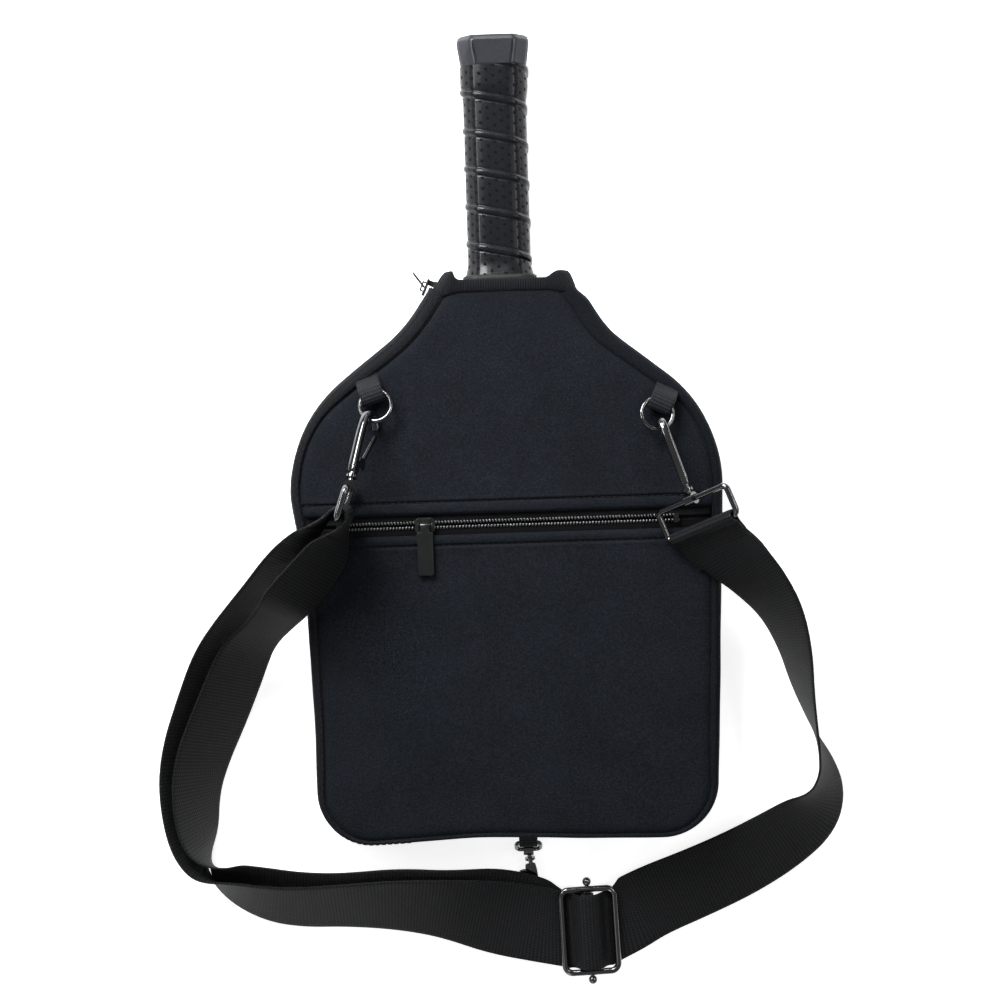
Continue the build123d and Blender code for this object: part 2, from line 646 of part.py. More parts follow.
# ---------------------------------------------------------------- shoulder strap
# Stations run from the right loop round the bottom to the left loop. The last figure is the lean
# of the strap's width: 0 and 180 lie flat, 90 stands on edge.
SLEEVE_R = 1.9
SEWN_TAIL = 8.0
FOLD_R = 4.5
FOLD_FROM = 135.0
FOLD_TO = -34.0
SLOT_X = 10.5
SLOT_GAP = 0.4
UNDER_Z = 7.5
LOWER_Z = 5.2
HUMP_HALF = [(0.0, 14.8), (4.2, 13.2), (7.5, 9.0), (SLOT_X, UNDER_Z)]
HUMP = [(-x, z) for x, z in reversed(HUMP_HALF[1:])] + HUMP_HALF
ROUTE_RIGHT = [
    (111, 6, 50.5, 46), (124, -7, 47.5, 54), (136, -23, 38, 64), (144, -44, 28.5, 74),
    (148, -64, 22, 82), (152, -80, 20.9, 90), (156, -94, 20.9, 98), (160, -107, 19.6, 110),
    (160, -121, 16.5, 129), (153, -134, 11.6, 149), (137, -146, 8.5, 159), (116, -158, 6.5, 165),
    (93, -168, 5.8, 168), (70, -177, 4.8, 172), (57, -183.5, 6.0, 176),
]
ROUTE_LEFT = [
    (14, -187.5, 7.8, 180), (-8, -183, 9.0, 177), (-36, -176.5, 12, 152), (-62, -173, 13.5, 143),
    (-90, -172, 14.9, 136), (-113, -172, 16.3, 131), (-131, -169, 18, 121), (-150, -161, 19.7, 108),
    (-163, -152, 20.9, 94), (-168, -140, 20.8, 78), (-170, -125, 19, 66), (-170, -103, 17.7, 57),
    (-166, -84, 17, 53), (-158, -62, 17.5, 53), (-150, -41, 22, 56), (-140, -25, 31, 62),
    (-124, -4, 46, 74), (-113, 10, 55, 80), (-104, 19, 57.5, 82), (-92.6, 28, 58.5, 86),
]
ROUTE_RETURN = [
    (14, -184.5, 5.4, 178), (-8, -176, 6.6, 174), (-36, -171, 11.3, 149), (-62, -166, 13.6, 140),
    (-90, -165, 15.6, 132), (-112, -164, 17.2, 124), (-132, -160, 19, 113), (-147, -157, 20, 105),
    (-157, -149, 20.9, 90), (-163, -136, 19.6, 72), (-165, -113, 18.2, 62), (-161, -93, 16.7, 53),
    (-152, -73, 16.5, 51), (-144, -55, 17.5, 52), (-136, -38, 22, 55), (-127, -28, 30, 64),
    (-119, -20, 39, 74), (-113, -13.5, 50.5, 81), (-108, -8, 54.5, 84), (-94, 7, 56.5, 84),
    (-82.6, 23.4, 58, 86),
]


def refine(route):
    """Put a new station midway between each two, on a smooth line through the four nearest."""
    padded = [route[0]] + route + [route[-1]]
    finer = []
    for before, here, after, beyond in zip(padded, padded[1:], padded[2:], padded[3:]):
        finer.append(here)
        finer.append(tuple((9 * (p + q) - o - r) / 16 for o, p, q, r in zip(before, here, after, beyond)))
    return finer + [route[-1]]


def ribbon(first, route, last, name):
    """One length of webbing, from the plane first through the route's stations to the plane last."""
    stations = [tuple(first.origin)] + [station[:3] for station in route] + [tuple(last.origin)]
    leans = [route[0][3]] + [station[3] for station in route] + [route[-1][3]]
    fine = refine([(*place, lean) for place, lean in zip(stations, leans)])
    sections = [first]
    for before, here, after in zip(fine, fine[1:], fine[2:]):
        travel = (Vector(*after[:3]) - Vector(*before[:3])).normalized()
        level = Vector(-travel.Y, travel.X, 0).normalized()
        lean = radians(here[3])
        width = level * cos(lean) + Vector(0, 0, sin(lean))
        along = (travel - width * travel.dot(width)).normalized()
        sections.append(Plane(origin=here[:3], x_dir=width, z_dir=along))
    sections.append(last)
    with BuildPart() as strap:
        for section in sections:
            with BuildSketch(section):
                Rectangle(STRAP_W, STRAP_T)
        loft(ruled=True)
    save(strap, name)


right_across = FAR_BAR_LINES["right"]
lay = direction(-50.0)
tail = (lay - Vector(0, 0, lay.dot(right_across) / right_across.Z)).normalized()
right_end = Plane(origin=FAR_BARS["right"] + tail * SEWN_TAIL, x_dir=right_across, z_dir=tail)
with BuildPart() as strap_end_right:
    base = Plane(origin=FAR_BARS["right"] - right_across * (STRAP_W / 2), x_dir=tail, z_dir=right_across)
    with BuildSketch(base):
        Circle(SLEEVE_R + STRAP_T)
        with Locations((SEWN_TAIL / 2, 0)):
            Rectangle(SEWN_TAIL, 2 * STRAP_T)
        Circle(SLEEVE_R, mode=Mode.SUBTRACT)
    extrude(amount=STRAP_W)
save(strap_end_right, "strap_end_right")

glide_right = GLIDE_CENTRE + glide_x * (SLOT_X + SLOT_GAP)
glide_left = GLIDE_CENTRE - glide_x * (SLOT_X + SLOT_GAP)
slot_right = Plane(origin=(glide_right.X, glide_right.Y, UNDER_Z), x_dir=glide_y, z_dir=-glide_x)
slot_left = Plane(origin=(glide_left.X, glide_left.Y, UNDER_Z), x_dir=glide_y, z_dir=-glide_x)
slot_lower = Plane(origin=(glide_left.X, glide_left.Y, LOWER_Z), x_dir=glide_y, z_dir=-glide_x)
with BuildPart() as strap_hump:
    with BuildSketch(glide_side):
        with BuildLine():
            Polyline(*[(x, z - GLIDE_CENTRE.Z) for x, z in HUMP])
        trace(line_width=STRAP_T)
    extrude(amount=-STRAP_W)
save(strap_hump, "strap_hump")

with BuildPart() as strap_end_adjuster:
    with BuildSketch(glide_side):
        Circle(SLEEVE_R + STRAP_T)
        with BuildLine():
            Line((-SLOT_X, LOWER_Z - GLIDE_CENTRE.Z), (0, -SLEEVE_R - STRAP_T / 2))
        trace(line_width=STRAP_T)
        Circle(SLEEVE_R, mode=Mode.SUBTRACT)
    extrude(amount=-STRAP_W)
save(strap_end_adjuster, "strap_end_adjuster")

left_bar = FAR_BARS["left"]
fold_in = Plane(
    origin=left_bar + direction(FOLD_FROM) * FOLD_R, x_dir=(0, 0, 1), z_dir=direction(FOLD_FROM - 90),
)
fold_out = Plane(
    origin=left_bar + direction(FOLD_TO) * FOLD_R, x_dir=(0, 0, 1), z_dir=direction(FOLD_TO + 90),
)
with BuildPart() as strap_fold_left:
    with BuildSketch(Plane.XY.offset(left_bar.Z - STRAP_W / 2)):
        with BuildLine():
            CenterArc((left_bar.X, left_bar.Y), FOLD_R, FOLD_TO, FOLD_FROM - FOLD_TO)
        trace(line_width=STRAP_T)
    extrude(amount=STRAP_W)
save(strap_fold_left, "strap_fold_left")

ribbon(right_end, ROUTE_RIGHT, slot_right, "strap_right")
ribbon(slot_left, ROUTE_LEFT, fold_in, "strap_left")
ribbon(slot_lower, ROUTE_RETURN, fold_out, "strap_return")

# ---------------------------------------------------------------- paddle
HEAD_LINE = [
    (0, HEAD_BOTTOM_Y), (HEAD_HALF_W, HEAD_BOTTOM_Y), (HEAD_HALF_W, 52), (76, 92), (22, 126), (15, 142),
]
HEAD_RADII = [30, 40, 40, 20]
GUARD_T = 1.4
GUARD_TOP_Y = 118.0
HANDLE_W = 28.0
HANDLE_D = 21.0
HANDLE_CORNER = 6.0
GRIP_CORNER = 8.0
CAP_START_Y = 254.0
HANDLE_TOP_Y = 262.0
COLLAR_W = 36.5
COLLAR_D = 27.6
COLLAR_Y = 147.0
COLLAR_L = 6.0
CAP_SECTIONS = [(CAP_START_Y, 32.8, 26.8), (BUTT_Y - 3.0, 36.5, 29.8), (BUTT_Y, 34.0, 27.4)]
CAP_FACET = 7.0


def head_face(z, inset):
    """The paddle's face outline at height z, inset from its outer line."""
    with BuildSketch(Plane.XY.offset(z)) as face:
        with BuildLine():
            half = FilletPolyline(*HEAD_LINE, radius=HEAD_RADII)
            Line(half @ 1, (0, HEAD_LINE[-1][1]))
            mirror(about=Plane.YZ)
        make_face()
        if inset:
            offset(amount=-inset)
    return face.sketch


def cross_section(y, width, depth, corner):
    """A rounded rectangle across the handle, at distance y up the handle."""
    with BuildSketch(Plane(origin=(0, y, PADDLE_Z), x_dir=(1, 0, 0), z_dir=(0, 1, 0))) as section:
        RectangleRounded(width, depth, corner)
    return section.sketch


CORE_LOW = PADDLE_Z - CORE_T / 2
with BuildPart() as paddle_core:
    extrude(head_face(CORE_LOW, GUARD_T), amount=CORE_T)
save(paddle_core, "paddle_core")

with BuildPart() as paddle_face_front:
    extrude(head_face(CORE_LOW + CORE_T, GUARD_T), amount=FACE_T)
save(paddle_face_front, "paddle_face_front")

with BuildPart() as paddle_face_back:
    extrude(head_face(CORE_LOW - FACE_T, GUARD_T), amount=FACE_T)
save(paddle_face_back, "paddle_face_back")

with BuildPart() as paddle_edge_guard:
    extrude(head_face(CORE_LOW - FACE_T, 0), amount=CORE_T + 2 * FACE_T)
    extrude(head_face(CORE_LOW - FACE_T, GUARD_T), amount=CORE_T + 2 * FACE_T, mode=Mode.SUBTRACT)
    with Locations((0, GUARD_TOP_Y + 50, PADDLE_Z)):
        Box(100, 100, 50, mode=Mode.SUBTRACT)
save(paddle_edge_guard, "paddle_edge_guard")

with BuildPart() as handle_core:
    throat_y = HEAD_LINE[-1][1]
    extrude(cross_section(throat_y, HANDLE_W, HANDLE_D, HANDLE_CORNER), amount=HANDLE_TOP_Y - throat_y)
save(handle_core, "handle_core")

with BuildPart() as grip_wrap:
    grip_l = CAP_START_Y - GRIP_START_Y
    extrude(cross_section(GRIP_START_Y, GRIP_W, GRIP_D, GRIP_CORNER), amount=grip_l)
    extrude(cross_section(GRIP_START_Y, HANDLE_W, HANDLE_D, HANDLE_CORNER), amount=grip_l, mode=Mode.SUBTRACT)
save(grip_wrap, "grip_wrap")

with BuildPart() as grip_collar:
    extrude(cross_section(COLLAR_Y, COLLAR_W, COLLAR_D, GRIP_CORNER + 1.0), amount=COLLAR_L)
    extrude(cross_section(COLLAR_Y, GRIP_W, GRIP_D, GRIP_CORNER), amount=COLLAR_L, mode=Mode.SUBTRACT)
save(grip_collar, "grip_collar")

with BuildPart() as butt_cap:
    for y, width, depth in CAP_SECTIONS:
        with BuildSketch(Plane(origin=(0, y, PADDLE_Z), x_dir=(1, 0, 0), z_dir=(0, 1, 0))) as section:
            Rectangle(width, depth)
            chamfer(section.vertices(), length=CAP_FACET)
    loft(ruled=True)
    socket = cross_section(CAP_START_Y, HANDLE_W, HANDLE_D, HANDLE_CORNER)
    extrude(socket, amount=HANDLE_TOP_Y - CAP_START_Y, mode=Mode.SUBTRACT)
save(butt_cap, "butt_cap")
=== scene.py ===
import json
import math

import bpy
import numpy as np
from mathutils import Matrix, Vector

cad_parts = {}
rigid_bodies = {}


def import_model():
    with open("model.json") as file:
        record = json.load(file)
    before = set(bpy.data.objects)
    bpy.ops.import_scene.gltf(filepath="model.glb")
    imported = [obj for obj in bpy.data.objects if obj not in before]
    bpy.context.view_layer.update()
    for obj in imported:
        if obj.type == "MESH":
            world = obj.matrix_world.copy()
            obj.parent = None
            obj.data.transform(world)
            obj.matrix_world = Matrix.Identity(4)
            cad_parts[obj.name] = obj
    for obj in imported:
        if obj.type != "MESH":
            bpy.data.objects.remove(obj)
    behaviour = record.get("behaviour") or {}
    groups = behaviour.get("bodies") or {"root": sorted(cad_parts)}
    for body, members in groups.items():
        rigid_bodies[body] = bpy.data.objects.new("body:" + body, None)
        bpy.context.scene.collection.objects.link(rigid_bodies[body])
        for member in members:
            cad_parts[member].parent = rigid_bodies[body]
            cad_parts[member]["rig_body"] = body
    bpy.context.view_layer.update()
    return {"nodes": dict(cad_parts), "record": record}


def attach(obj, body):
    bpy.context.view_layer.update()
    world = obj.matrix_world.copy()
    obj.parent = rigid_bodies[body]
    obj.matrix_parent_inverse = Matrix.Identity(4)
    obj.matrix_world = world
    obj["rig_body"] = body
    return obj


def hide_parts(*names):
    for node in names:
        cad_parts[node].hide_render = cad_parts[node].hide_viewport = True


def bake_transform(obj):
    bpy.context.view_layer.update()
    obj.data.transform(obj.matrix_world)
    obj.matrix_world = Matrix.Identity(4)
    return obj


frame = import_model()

MM = 0.001
NODES = frame["nodes"]
UP = np.array([0, 0, 1.0])


# ---- camera
def look_at(obj, eye, target, up):
    """Points obj's -Z at target, with up towards the top of the picture."""
    back = (Vector(eye) - Vector(target)).normalized()
    right = Vector(up).cross(back).normalized()
    top = back.cross(right)
    obj.matrix_world = Matrix((
        (right.x, top.x, back.x, eye[0]),
        (right.y, top.y, back.y, eye[1]),
        (right.z, top.z, back.z, eye[2]),
        (0, 0, 0, 1),
    ))


# The photo is taken from nearly straight above, turned a little
CAMERA_EYE = (-0.00155, 0.0781, 0.960)
CAMERA_TARGET = (-0.00347, 0.03593, 0.017)
CAMERA_TURN = math.radians(1.8)
cam_data = bpy.data.cameras.new("camera")
cam_data.sensor_width = 36.0
cam_data.lens = 66.37
cam = bpy.data.objects.new("camera", cam_data)
bpy.context.scene.collection.objects.link(cam)
look_at(cam, CAMERA_EYE, CAMERA_TARGET, (math.sin(CAMERA_TURN), math.cos(CAMERA_TURN), 0))
bpy.context.scene.camera = cam


# ---- node helpers
class Nodes:
    """A material under construction."""

    def __init__(self, name):
        self.mat = bpy.data.materials.new(name)
        self.mat.use_nodes = True
        self.tree = self.mat.node_tree
        self.bsdf = self.tree.nodes["Principled BSDF"]

    def add(self, kind, inputs=None, **props):
        node = self.tree.nodes.new(kind)
        for key, value in props.items():
            setattr(node, key, value)
        for key, value in (inputs or {}).items():
            self.put(node.inputs[key], value)
        return node

    def put(self, socket, value):
        if isinstance(value, bpy.types.NodeSocket):
            self.tree.links.new(value, socket)
        else:
            socket.default_value = value

    def math(self, op, *values):
        node = self.add("ShaderNodeMath", operation=op)
        for socket, value in zip(node.inputs, values):
            self.put(socket, value)
        return node.outputs[0]

    def times(self, a, b):
        return self.math("MULTIPLY", a, b)

    def mad(self, a, b, c):
        """a times b, plus c."""
        return self.math("MULTIPLY_ADD", a, b, c)

    def place(self):
        """Object position in millimetres."""
        tex = self.add("ShaderNodeTexCoord")
        m = self.add("ShaderNodeMapping", {"Vector": tex.outputs["Object"]})
        m.inputs["Scale"].default_value = (1 / MM,) * 3
        return m.outputs["Vector"]

    def uv(self):
        """UV in millimetres: u across, v along."""
        node = self.add("ShaderNodeUVMap")
        s = self.add("ShaderNodeSeparateXYZ", {"Vector": node.outputs["UV"]})
        return s.outputs["X"], s.outputs["Y"]

    def noise(self, vector, scale, detail=2.0, rough=0.5):
        inputs = {"Vector": vector, "Scale": scale, "Detail": detail, "Roughness": rough}
        return self.add("ShaderNodeTexNoise", inputs).outputs["Fac"]

    def wave(self, turns):
        """Rises from 0 to 1 and falls back once in every turn."""
        return self.math("ABSOLUTE", self.math("SINE", self.times(turns, math.pi)))

    def ramp(self, value, stops):
        r = self.add("ShaderNodeValToRGB", {"Fac": value})
        el = r.color_ramp.elements
        while len(el) < len(stops):
            el.new(0.5)
        for e, (pos, col) in zip(el, stops):
            e.position = pos
            e.color = (*col, 1.0)
        return r.outputs["Color"]

    def shades(self, value, color, *stops):
        """A ramp through one colour's darker and lighter versions, from (position, strength)."""
        return self.ramp(value, [(at, scaled(color, k)) for at, k in stops])

    def bump(self, height, strength, distance=0.0003):
        inputs = {"Height": height, "Strength": strength, "Distance": distance}
        return self.add("ShaderNodeBump", inputs).outputs["Normal"]

    def set(self, **values):
        names = {
            "color": "Base Color", "rough": "Roughness", "metal": "Metallic", "normal": "Normal",
            "sheen": "Sheen Weight", "sheen_rough": "Sheen Roughness", "sheen_tint": "Sheen Tint",
            "spec": "Specular IOR Level",
        }
        for key, value in values.items():
            self.put(self.bsdf.inputs[names[key]], value)
        return self.mat


def scaled(c, k):
    return tuple(x * k for x in c)


# ---- materials
def knit(name, color, grain=1.0, sheen=0.02):
    """Fine jersey face on neoprene: speckle at two scales, with a soft broad mottle."""
    n = Nodes(name)
    p = n.place()
    fine = n.noise(p, 2.2 * grain, 2.0, 0.6)
    speckle = n.noise(p, 1.05 * grain, 3.0, 0.75)
    broad = n.noise(p, 0.035, 2.0)
    both = n.mad(fine, 0.35, n.times(speckle, 0.65))
    speck = n.shades(both, color, (0.36, 0.45), (0.5, 1), (0.66, 2.1))
    soft = n.ramp(broad, [(0.3, (0.85, 0.85, 0.85)), (0.7, (1.15, 1.15, 1.15))])
    mix = n.add("ShaderNodeMix", data_type="RGBA", blend_type="MULTIPLY")
    n.put(mix.inputs["Factor"], 1.0)
    n.put(mix.inputs["A"], speck)
    n.put(mix.inputs["B"], soft)
    rough = n.mad(fine, 0.2, 0.72)
    return n.set(
        color=mix.outputs["Result"], rough=rough, normal=n.bump(both, 0.45),
        sheen=sheen, sheen_rough=0.45, sheen_tint=(0.8, 0.85, 1.0, 1.0), spec=0.12,
    )


def woven(name, color, pitch, rib, lift, painted_highlight):
    """Flat-woven webbing: rows of short floats across the strap, staggered along it. Its colour is random
    grain plus painted shade in the weave's dips and a painted highlight on its floats.
    """
    n = Nodes(name)
    u, v = n.uv()
    row = n.times(v, 1.0 / pitch)
    odd = n.math("MODULO", n.math("FLOOR", row), 2.0)
    col = n.mad(odd, 0.5, n.times(u, 1.0 / (2 * rib)))
    height = n.times(n.math("POWER", n.wave(col), 0.6), n.math("POWER", n.wave(row), 0.6))
    grain = n.noise(n.place(), 1.2, 3.0, 0.7)
    # Colour from the weave's height: painted shade in the dips, painted highlight on the floats, over random
    # grain
    tone = n.mad(grain, 0.5, n.times(height, 0.6))
    shade = n.shades(tone, color, (0.15, 0.35), (0.5, 1), (0.85, painted_highlight))
    return n.set(
        color=shade, rough=0.62, normal=n.bump(height, lift), sheen=0.02, sheen_rough=0.4, spec=0.15,
    )


def twill(name, color, pitch=0.9):
    """Zip tape: a herringbone of fine diagonal ribs, with painted shade between the ribs and a painted
    highlight on their tops.
    """
    n = Nodes(name)
    u, v = n.uv()
    zigzag = n.math("SUBTRACT", n.math("MODULO", n.times(u, 0.25), 2.0), 1.0)
    slant = n.times(n.math("ABSOLUTE", zigzag), 4.0)
    height = n.wave(n.math("ADD", n.times(v, 1.0 / pitch), slant))
    grain = n.noise(n.place(), 1.5, 3.0, 0.7)
    # Colour from the ribs' height: painted shade in the grooves, painted highlight on the ribs, over random
    # grain
    tone = n.mad(grain, 0.6, n.times(height, 0.5))
    shade = n.shades(tone, color, (0.2, 0.4), (0.55, 1), (0.85, 2.2))
    return n.set(color=shade, rough=0.7, normal=n.bump(height, 0.35), sheen=0.02, spec=0.12)


def metal(name, color, rough, smear=0.03):
    n = Nodes(name)
    p = n.place()
    wear = n.noise(p, 0.12, 3.0)
    fine = n.noise(p, 0.6, 2.0)
    tone = n.shades(wear, color, (0.3, 0.86), (0.7, 1.08))
    r = n.mad(fine, smear * 2, rough - smear)
    return n.set(color=tone, rough=r, metal=1.0)


def plastic(name, color, rough, grain=0.8, strength=0.12):
    n = Nodes(name)
    fine = n.noise(n.place(), grain, 3.0)
    tone = n.shades(fine, color, (0.3, 0.85), (0.7, 1.2))
    r = n.mad(fine, 0.1, rough - 0.05)
    return n.set(color=tone, rough=r, normal=n.bump(fine, strength, 0.0002), spec=0.5)


RIB_PITCH = 1.25


def ribbed(name, color, pitch=RIB_PITCH):
    """Knitted elastic: ribs that run round the binding, along v, with painted shade between them and a
    painted highlight on their crests.
    """
    n = Nodes(name)
    rib = n.wave(n.times(n.uv()[1], 1.0 / pitch))
    grain = n.noise(n.place(), 1.6, 3.0, 0.7)
    # Colour from the ribs' height: painted shade in the troughs, painted highlight on the crests, over
    # random grain
    tone = n.mad(grain, 0.5, n.times(rib, 0.55))
    shade = n.shades(tone, color, (0.2, 0.35), (0.55, 1), (0.9, 1.9))
    return n.set(color=shade, rough=0.75, normal=n.bump(rib, 0.5, 0.0004), sheen=0.02, spec=0.12)


# The grip's holes: spacing round and along the wrap, radius, and the part of its width they cover
HOLE_U, HOLE_V, HOLE_R = 3.45, 5.4, 0.85
HOLES_FROM, HOLES_TO = 2.9, 16.6


def leatherette(name, color):
    """Cushioned grip: fine pebble, with rows of punched holes laid out in the wrap's own UV; the holes are
    painted near black as the shade inside them.
    """
    n = Nodes(name)
    u, v = n.uv()

    def off_centre(cells, spacing):
        return n.times(n.math("SUBTRACT", n.math("FRACT", cells), 0.5), spacing)

    col = n.times(u, 1.0 / HOLE_U)
    odd = n.math("MODULO", n.math("FLOOR", col), 2.0)
    row = n.mad(odd, 0.5, n.times(v, 1.0 / HOLE_V))
    du, dv = off_centre(col, HOLE_U), off_centre(row, HOLE_V)
    r2 = n.math("ADD", n.times(du, du), n.times(dv, dv))
    hole = n.math("LESS_THAN", r2, HOLE_R ** 2)
    hole = n.times(hole, n.math("GREATER_THAN", v, HOLES_FROM))
    solid = n.math("SUBTRACT", 1.0, n.times(hole, n.math("LESS_THAN", v, HOLES_TO)))
    p = n.place()
    pebble = n.noise(p, 1.1, 4.0, 0.6)
    soft = n.noise(p, 0.09, 2.0)
    # The holes get near black: painted shade inside them; the face gets a soft random mottle
    tone = n.ramp(
        n.times(solid, n.mad(soft, 0.3, 0.7)),
        [(0.1, (0.0004,) * 3), (0.5, scaled(color, 0.9)), (1.0, scaled(color, 1.15))],
    )
    height = n.math("ADD", solid, n.times(pebble, 0.08))
    face_rough = n.mad(pebble, 0.08, 0.24)
    rough = n.math("ADD", face_rough, n.mad(solid, -0.7, 0.7))
    return n.set(color=tone, rough=rough, normal=n.bump(height, 0.6, 0.0004), spec=0.35)


NEOPRENE = (0.0078, 0.0100, 0.0140)
MATS = {
    "neoprene": knit("neoprene_knit", NEOPRENE),
    "lining": knit("lining_knit", (0.004, 0.0045, 0.006), 1.3, 0.01),
    "wall": knit("wall_knit", scaled(NEOPRENE, 0.72), 1.2),
    "zip_tape": twill("zip_tape_twill", (0.007, 0.0075, 0.0095)),
    # The pocket zip's tapes: the zip tape's twill painted about three times darker, as painted shade in the
    # pocket's recess
    "painted_shade_tape": twill("painted_shade_tape_twill", (0.0022, 0.0023, 0.003)),
    "webbing": woven("webbing_weave", (0.0062, 0.0066, 0.0072), 1.7, 0.75, 0.7, 3.4),
    "tab_webbing": woven("tab_webbing_weave", (0.011, 0.012, 0.014), 1.7, 0.5, 0.8, 3.0),
    "ribbed_elastic": ribbed("ribbed_elastic", (0.0075, 0.008, 0.010)),
    "coil_metal": metal("coil_metal", (0.26, 0.26, 0.26), 0.3),
    "dark_nickel": metal("dark_nickel", (0.19, 0.19, 0.195), 0.13, 0.015),
    "spring_steel": metal("spring_steel", (0.5, 0.5, 0.52), 0.3),
    "gunmetal": metal("gunmetal_satin", (0.085, 0.093, 0.09), 0.32),
    "thread": plastic("thread", (0.002, 0.002, 0.003), 0.8, 3.0),
    "grip": leatherette("grip_wrap_face", (0.0075, 0.0080, 0.0100)),
    "grip_band": plastic("grip_band", (0.004, 0.004, 0.0045), 0.6),
    "butt_cap": plastic("butt_cap", (0.032, 0.034, 0.041), 0.3),
    "paddle_face": plastic("paddle_face", (0.03, 0.03, 0.033), 0.6, 3.0, 0.3),
    "paddle_core": plastic("paddle_core", (0.35, 0.35, 0.33), 0.6),
    "edge_guard": plastic("edge_guard", (0.012, 0.012, 0.013), 0.4),
}
# Material slots of the CAD nodes that are kept, with the material each one gets
FINISH = {"zip_slider_metal": "gunmetal"}
for slot in ("dark_nickel", "spring_steel", "paddle_core", "paddle_face", "edge_guard", "butt_cap",
             "grip", "grip_band"):
    FINISH[slot] = slot


# ---- mesh helpers (millimetres in)
def make(name, verts, faces, mat, body, uvs=None, replaces=()):
    """A mesh piece that rides on body and stands for the CAD nodes named."""
    mesh = bpy.data.meshes.new(name)
    points = [tuple(v) for v in np.asarray(verts, float) * MM]
    mesh.from_pydata(points, [], [tuple(f) for f in faces])
    if uvs is not None:
        layer = mesh.uv_layers.new(name="UVMap")
        loops = np.zeros(len(mesh.loops), np.int64)
        mesh.loops.foreach_get("vertex_index", loops)
        layer.data.foreach_set("uv", np.asarray(uvs, np.float32)[loops].ravel())
    mesh.polygons.foreach_set("use_smooth", [True] * len(mesh.polygons))
    mesh.materials.append(MATS[mat])
    obj = bpy.data.objects.new(name, mesh)
    bpy.context.scene.collection.objects.link(obj)
    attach(obj, body)
    if replaces:
        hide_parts(*replaces)
    return obj


def grid(points, loop_v=False):
    """Vertices and quads of an (n, m, 3) lattice."""
    n, m = points.shape[:2]
    idx = np.arange(n * m).reshape(n, m)
    if loop_v:
        idx = np.hstack([idx, idx[:, :1]])
    faces = np.stack([idx[:-1, :-1], idx[1:, :-1], idx[1:, 1:], idx[:-1, 1:]], -1).reshape(-1, 4)
    return points.reshape(-1, 3), faces


def capped(points, flip=False):
    """Vertices and faces of a closed bar, from an (n, m, 3) lattice whose rows are its rings."""
    verts, faces = grid(points, loop_v=True)
    m = points.shape[1]
    faces = [list(f) for f in faces]
    faces += [list(range(m))[::-1], [len(verts) - m + i for i in range(m)]]
    return verts, [f[::-1] for f in faces] if flip else faces


def thicken(obj, amount):
    mod = obj.modifiers.new("thickness", "SOLIDIFY")
    mod.thickness = amount * MM
    mod.offset = -1.0
    return obj


def unit(v):
    v = np.asarray(v, float)
    return v / np.maximum(np.linalg.norm(v, axis=-1, keepdims=True), 1e-9)


def az(angle, climb=0.0):
    a, c = math.radians(angle), math.radians(climb)
    return np.array([math.cos(c) * math.cos(a), math.cos(c) * math.sin(a), math.sin(c)])


def power(v, exponent):
    """A power that keeps the sign."""
    return np.sign(v) * np.abs(v) ** exponent


def travelled(points):
    """Distance along a line at each of its points."""
    return np.concatenate([[0], np.cumsum(np.linalg.norm(np.diff(points, axis=0), axis=1))])


def resample(points, step):
    """Evenly spaced points along a line, and the distance along it at each."""
    points = np.asarray(points, float)
    s = travelled(points)
    t = np.linspace(0, s[-1], max(2, int(round(s[-1] / step)) + 1))
    return np.stack([np.interp(t, s, points[:, k]) for k in range(points.shape[1])], 1), t


def rounded(points, rounds=3):
    """Chaikin corner cutting that keeps the ends."""
    pts = np.asarray(points, float)
    for _ in range(rounds):
        q = 0.75 * pts[:-1] + 0.25 * pts[1:]
        r = 0.25 * pts[:-1] + 0.75 * pts[1:]
        pts = np.vstack([pts[:1], np.stack([q, r], 1).reshape(-1, pts.shape[1])[1:-1], pts[-1:]])
    return pts


# ---- strap (the free webbing)
STRAP_W = 40.0
STRAP_T = 1.4
# The loops' far bars and the tri-glide's centre bar, with their directions
FAR_RIGHT = np.array([96.406, 20.569, 51.719])
ACROSS_RIGHT = np.array([0.69068, 0.33142, 0.64274])
TAIL_RIGHT = np.array([0.6164, -0.7346, -0.28359])
FAR_LEFT = np.array([-81.786, 32.378, 59.370])
GLIDE = np.array([36.2, -190.3, 10.2])
GLIDE_X = az(2.1)
GLIDE_Y = az(92.1)
FOLD_R = 4.5
# Stations along each run: position in millimetres, and how far the webbing leans, in degrees
ROUTE_RIGHT = [
    (111, 6, 50.5, 46), (124, -7, 47.5, 54), (136, -23, 38, 64), (144, -44, 28.5, 74),
    (148, -64, 22, 82), (152, -80, 20.9, 90), (156, -94, 20.9, 98), (160, -107, 19.6, 110),
    (160, -121, 16.5, 129), (153, -134, 11.6, 149), (137, -146, 8.5, 159), (116, -158, 6.5, 165),
    (93, -168, 5.8, 168), (70, -177, 4.8, 172), (57, -183.5, 6.0, 176),
]
ROUTE_LEFT = [
    (14, -187.5, 7.8, 180), (-8, -183, 9.0, 177), (-36, -176.5, 12, 152), (-62, -173, 13.5, 143),
    (-90, -172, 14.9, 136), (-113, -172, 16.3, 134), (-131, -169, 18, 130), (-150, -161, 19.7, 118),
    (-163, -152, 20.9, 94), (-168, -140, 20.8, 78), (-170, -125, 19, 66), (-170, -103, 17.7, 57),
    (-166, -84, 17, 53), (-158, -62, 17.5, 53), (-150, -41, 22, 56), (-140, -25, 31, 62),
    (-124, -4, 46, 70), (-113, 10, 55, 72), (-104, 19, 57.5, 74), (-92.6, 28, 58.5, 80),
]
